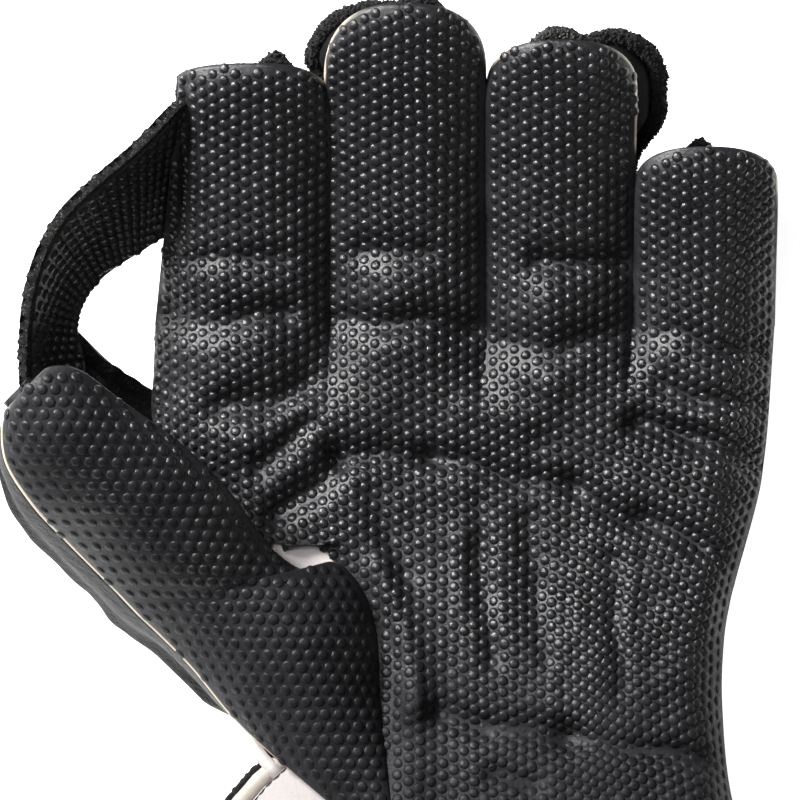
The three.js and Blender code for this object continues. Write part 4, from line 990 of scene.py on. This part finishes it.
def under_palm(share, row):
    """The rim of a wall that stands under the edge of the palm sheet."""
    edge = palm_sheet(share, row)
    edge[..., 0] += np.where(share < 0.5, GUSSET_INSET, -GUSSET_INSET)
    edge[..., 2] -= RIM_TUCK * RUBBER + FIT_GAP
    return edge


def hand_back():
    """The white back of the hand: a resting trough under the edges of the palm."""
    def point_at(u, v):
        row = mix(0.05, 11.7, v)
        left_x, left_y, left_up, follow = rail(HAND_BACK_ROWS, row)
        left, right = (under_palm(share, row) for share in (0.0, 1.0))
        left = mix(place(left_x, left_y, left_up), left, np.clip(follow, 0, 1)[..., None])
        return resting(left, right, u, 3.4, 0.35, 12, 81)
    return wall("hand_back_leather", (76, 84), point_at, BACK_PAD, WHITE_LOOK, "white_leather", False)


def crotch_gusset():
    """White leather behind the hole at the root of the thumb, sagging by a product of sines and sunk towards
    its edges."""
    def point_at(u, v):
        x, y = -0.262 + 0.085 * (2 * u - 1), 0.485 + 0.062 * (2 * v - 1)
        sag = 0.03 * hump(u) * hump(v)
        sunk = 0.1 * np.abs(2 * v - 1) ** 3 + 0.2 * smooth((u - 0.78) / 0.15) + sag
        return place(x, y, 0.87 - sunk + 0.008 * ripple(9 * u, 9 * v, 5, 91))
    # its leather is painted brighter to make up for the shade in the hole
    return wall("crotch_gusset_leather", (30, 40), point_at, LEATHER, BRIGHTENED_HOLE_LOOK, "white_leather")


thumb_wrap = thumb_back()
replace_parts(thumb_wrap, "thumb_back")
as_sheet(thumb_wrap)
hand = hand_back()
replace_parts(hand, "hand_back")
crotch = crotch_gusset()
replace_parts(crotch, "crotch_gusset")
as_sheet(crotch)

# ---------------------------------------------------------------- web


def web_share(distance, row):
    """Share of the web's width at a distance in mm from its outline."""
    edges = [web_sheet(share, row) for share in (0.0, 1.0)]
    return distance / np.linalg.norm(edges[0] - edges[1], axis=-1)


def webbing():
    """The pimpled band between thumb and index finger."""
    def point_at(u, v):
        row = v * (len(WEB_ROWS) - 1)
        return web_sheet(mix(web_share(RIM_WIDTH + 0.05, row), 1, u), row)
    return wall("webbing_rubber", (90, 34), point_at, WEB_THICKNESS, RUBBER_LOOK, "pimpled_rubber",
                backing=LEATHER_LOOK, cut_edge=0.0, worn=WEB_WORN)


def web_pimples():
    """Rows of pimples across the band, equal distances apart along it and across it."""
    fine = np.linspace(0, len(WEB_ROWS) - 1, 400)
    length = path_lengths(web_sheet(0.45, fine))
    share, row = [], []
    for order, at in enumerate(np.interp(np.arange(1.2, length[-1] - 1, WEB_ROW_PITCH), length, fine)):
        width = float(1 / web_share(1.0, np.array([at]))[0])
        first = RIM_WIDTH + 1.3 + 0.5 * WEB_COLUMN_PITCH * (order % 2)
        share.append(np.arange(first, width - 0.9, WEB_COLUMN_PITCH) / width)
        row.append(np.full_like(share[-1], at))
    share, row = np.concatenate(share), np.concatenate(row)
    places = web_sheet(share, row)
    normals = np.cross(web_sheet(share, row + 0.01) - places, web_sheet(share + 0.01, row) - places)
    normals = unit(normals * np.sign(normals[:, 2:]))
    return pimples("web_pimples", places, normals, PIMPLE_RADIUS, PIMPLE_HEIGHT, 35, WEB_WORN)


def web_binding():
    """The raw rim of the web's backing: a strip along the outline, its edge uneven by a ripple."""
    def point_at(u, v):
        row = v * (len(WEB_ROWS) - 1)
        point = web_sheet(web_share(mix(0.0, RIM_WIDTH, u), row), row)
        point[..., 2] += 0.35 * hump(u) + 0.18 * ripple(160 * v, 3 * u, 1.6, 95)
        return point
    return wall("web_binding_rim", (220, 5), point_at, WEB_THICKNESS, EDGE_LOOK, "grey_edge")


def web_strip():
    """Dark leather from the foot of the web to the root of the index finger, folded lengthways."""
    def point_at(u, v):
        point = band(STRIP_ROWS, u, v * (len(STRIP_ROWS) - 1))
        point[..., 2] += 0.5 * np.sin(9 * u + 1.5) + 0.15 * ripple(14 * u, 20 * v, 4, 97)
        return point
    return wall("web_strip_leather", (40, 26), point_at, LEATHER, LEATHER_LOOK, "black_leather")


web = webbing()
web_knobs = web_pimples()
web_rim = web_binding()
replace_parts(web, "webbing")
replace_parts(web_rim, "web_binding")
as_sheet(web)
strip = web_strip()
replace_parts(strip, "web_strip")
as_sheet(strip)

# ---------------------------------------------------------------- cuff


def cuff_y(at):
    """y at a share of the way from the cuff's top corner to its mouth."""
    return mix(-0.93 * HAND_LENGTH, -HAND_LENGTH - CUFF_LENGTH, at)


def cuff_rails(at):
    """Left x, height, right x, height of the cuff at that share."""
    row = np.interp(at, [line[0] for line in CUFF_ROWS], np.arange(len(CUFF_ROWS)))
    return rail(CUFF_ROWS, row)[1:]


def cuff_sides(at):
    """Points of the cuff's left and right edge at that share."""
    left_x, left_up, right_x, right_up = cuff_rails(at)
    return [stack(x * PALM_WIDTH, cuff_y(at), up * PALM_DEPTH)
            for x, up in ((left_x, left_up), (right_x, right_up))]


def cuff_back():
    """The lower half of the gauntlet: a resting trough that widens to the mouth."""
    grid = 60, 84

    def point_at(u, v):
        return resting(*cuff_sides(v ** 1.4), u, 3, 0.3, 16, 83)
    return wall("cuff_back_leather", grid, point_at, BACK_PAD, WHITE_LOOK, "white_leather", False,
                level_rims(*grid))


def cuff_rim(at, share):
    """Height of the front's lower edges over the rims of the back."""
    _, left_up, _, right_up = cuff_rails(at)
    return PALM_DEPTH * mix(left_up, right_up, share) + BACK_PAD + FIT_GAP


def cuff_front_at(u, v):
    """The upper half: from under the rubber's end to the mouth, rising in an arch of power 2.6."""
    top_x, top_y, top_up = rail(CUFF_TOP, u * (len(CUFF_TOP) - 1))
    start = (-top_y * HAND_LENGTH - cuff_y(0)) / (cuff_y(1) - cuff_y(0))
    at = mix(start, 1, v)
    left_x, _, right_x, _ = cuff_rails(at)
    x = mix(mix(left_x, right_x, u), top_x, (1 - v) ** 2)
    x = x + (1 - v) ** 2 * (left_x - CUFF_TOP[0][0]) * (1 - u) ** 6
    top_rise = np.maximum(0, top_up * PALM_DEPTH - cuff_rim(start, u))
    mouth_rise = (CUFF_DEPTH - cuff_rim(1.0, u)) * (1 - np.abs(2 * u - 1) ** 2.6)
    uneven = 0.4 * ripple(x * PALM_WIDTH, 70 * v, 30, 85) * hump(u)
    return stack(x * PALM_WIDTH, cuff_y(at), cuff_rim(at, u) + (mix(top_rise, mouth_rise, smooth(v)) + uneven))


def cuff_front():
    """The front of the gauntlet as a wall that goes straight down by its thickness."""
    return wall("cuff_front_leather", (48, 80), cuff_front_at, BACK_PAD, WHITE_LOOK, "white_leather",
                steer=lambda normals: np.zeros(normals.shape) + (0, 0, 1))


def cuff_edge(out, count):
    """A path outside the left edge of the cuff, that far from it."""
    edge, _ = cuff_sides(np.linspace(0, 1, count) ** 1.3)
    along = unit(np.gradient(edge, axis=0) * (1, 1, 0))
    return edge + out * stack(along[:, 1], -along[:, 0], 0)


def cuff_roll():
    """The rolled cream border: a round bar, a little uneven along its length."""
    path = cuff_edge(ROLL_RADIUS - 0.1, 150)
    points, faces = bar(path, (ROLL_RADIUS + 0.1) * (1 + 0.05 * ripple(path[:, 1], path[:, 1], 7, 87)), 20)
    return make_piece("cuff_border_roll", points, faces, CREAM_LOOK, "cream_leather")


def cuff_piping():
    """The black binding outside the roll, with a ragged edge from short ripples."""
    path = cuff_edge(2 * ROLL_RADIUS + 0.5, 260)
    path[:, 2] -= 0.6
    taper = np.sqrt(np.clip(np.arange(260) / 9, 0, 1)) * 0.92 + 0.08
    ragged = 1 + 0.2 * ripple(path[:, 1], path[:, 0], 1.7, 88)
    points, faces = bar(path, 0.85 * BINDING_RADIUS * taper * ragged, 12)
    return make_piece("cuff_binding_piping", points, faces, PILE_LOOK, "black_leather")


def stitches(name, path, length, gap, radius, look, slot):
    """A row of stitches: short bars an equal distance apart along a path, sunk at both ends."""
    share = np.linspace(0, 1, 6)
    all_points, quads, caps, count = [], [], [], 0
    for start in np.arange(0.5 * gap, path_lengths(path)[-1] - length, length + gap):
        line = on_path(path, start + share * length)
        line[:, 2] += radius * (hump(share) * 1.5 - 0.7)
        points, (four, three) = bar(line, radius, 6)
        all_points.append(points)
        quads.append(four + count)
        caps.append(three + count)
        count += len(points)
    make_piece(name, np.concatenate(all_points), [np.concatenate(quads), np.concatenate(caps)], look, slot)


cuff_lower = cuff_back()
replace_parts(cuff_lower, "cuff_back")
cuff_upper = cuff_front()
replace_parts(cuff_upper, "cuff_front")
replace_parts(cuff_roll(), "cuff_border")
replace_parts(cuff_piping(), "cuff_binding")
seam_line = cuff_front_at(np.full(200, 0.006), np.linspace(0.02, 0.98, 200))
stitches("cuff_seam", seam_line, 2.3, 0.14, 0.16, THREAD_LOOK, "black_leather")

# ---------------------------------------------------------------- floor, light, camera


def floor():
    """A plain pale floor under the glove."""
    mesh = bpy.data.meshes.new("floor")
    corners = [(-1, -1), (1, -1), (1, 1), (-1, 1)]
    mesh.from_pydata([(x * FLOOR_HALF, y * FLOOR_HALF, -2e-5) for x, y in corners], [], [(0, 1, 2, 3)])
    piece = bpy.data.objects.new("floor", mesh)
    bpy.context.scene.collection.objects.link(piece)
    material = bpy.data.materials.new("pale_floor")
    material.use_nodes = True
    sockets = material.node_tree.nodes["Principled BSDF"].inputs
    for socket, value in (("Base Color", (0.93, 0.93, 0.93, 1)), ("Roughness", 0.9),
                          ("Specular IOR Level", 0.1), ("Emission Color", (1, 1, 1, 1)),
                          ("Emission Strength", 0.88)):
        sockets[socket].default_value = value
    mesh.materials.append(material)


def soft_light(name, place, aim, size, power):
    """A square soft light at a place, turned to what it lights."""
    data = bpy.data.lights.new(name, "AREA")
    data.shape, data.size, data.energy = "SQUARE", size, power
    light = bpy.data.objects.new(name, data)
    bpy.context.scene.collection.objects.link(light)
    light.location = place
    light.rotation_euler = Vector(np.array(aim) - np.array(place)).to_track_quat("-Z", "Y").to_euler()
    light.visible_camera = False


floor()
soft_light("key", (-0.88, 0.68, 0.84), (0, 0.04, 0.03), 0.42, 50)
soft_light("top", (-0.35, 0.4, 1.5), (0, 0.03, 0.03), 0.6, 6)
soft_light("fill", (0.55, -0.45, 1.4), (0, 0.03, 0.03), 1.6, 2)

world = bpy.data.worlds.new("studio")
world.use_nodes = True
world.node_tree.nodes["Background"].inputs["Color"].default_value = (1, 1, 1, 1)
world.node_tree.nodes["Background"].inputs["Strength"].default_value = 0.06
bpy.context.scene.world = world
bpy.context.scene.view_settings.view_transform = "Standard"

camera = bpy.data.objects.new("camera", bpy.data.cameras.new("camera"))
bpy.context.scene.collection.objects.link(camera)
camera.location = (0.00294, 0.03541, CAMERA_HEIGHT)
camera.data.sensor_width = SENSOR_WIDTH
camera.data.lens = SENSOR_WIDTH * (CAMERA_HEIGHT - 0.038) / PHOTO_WIDTH
camera.data.clip_end = 100
bpy.context.scene.camera = camera
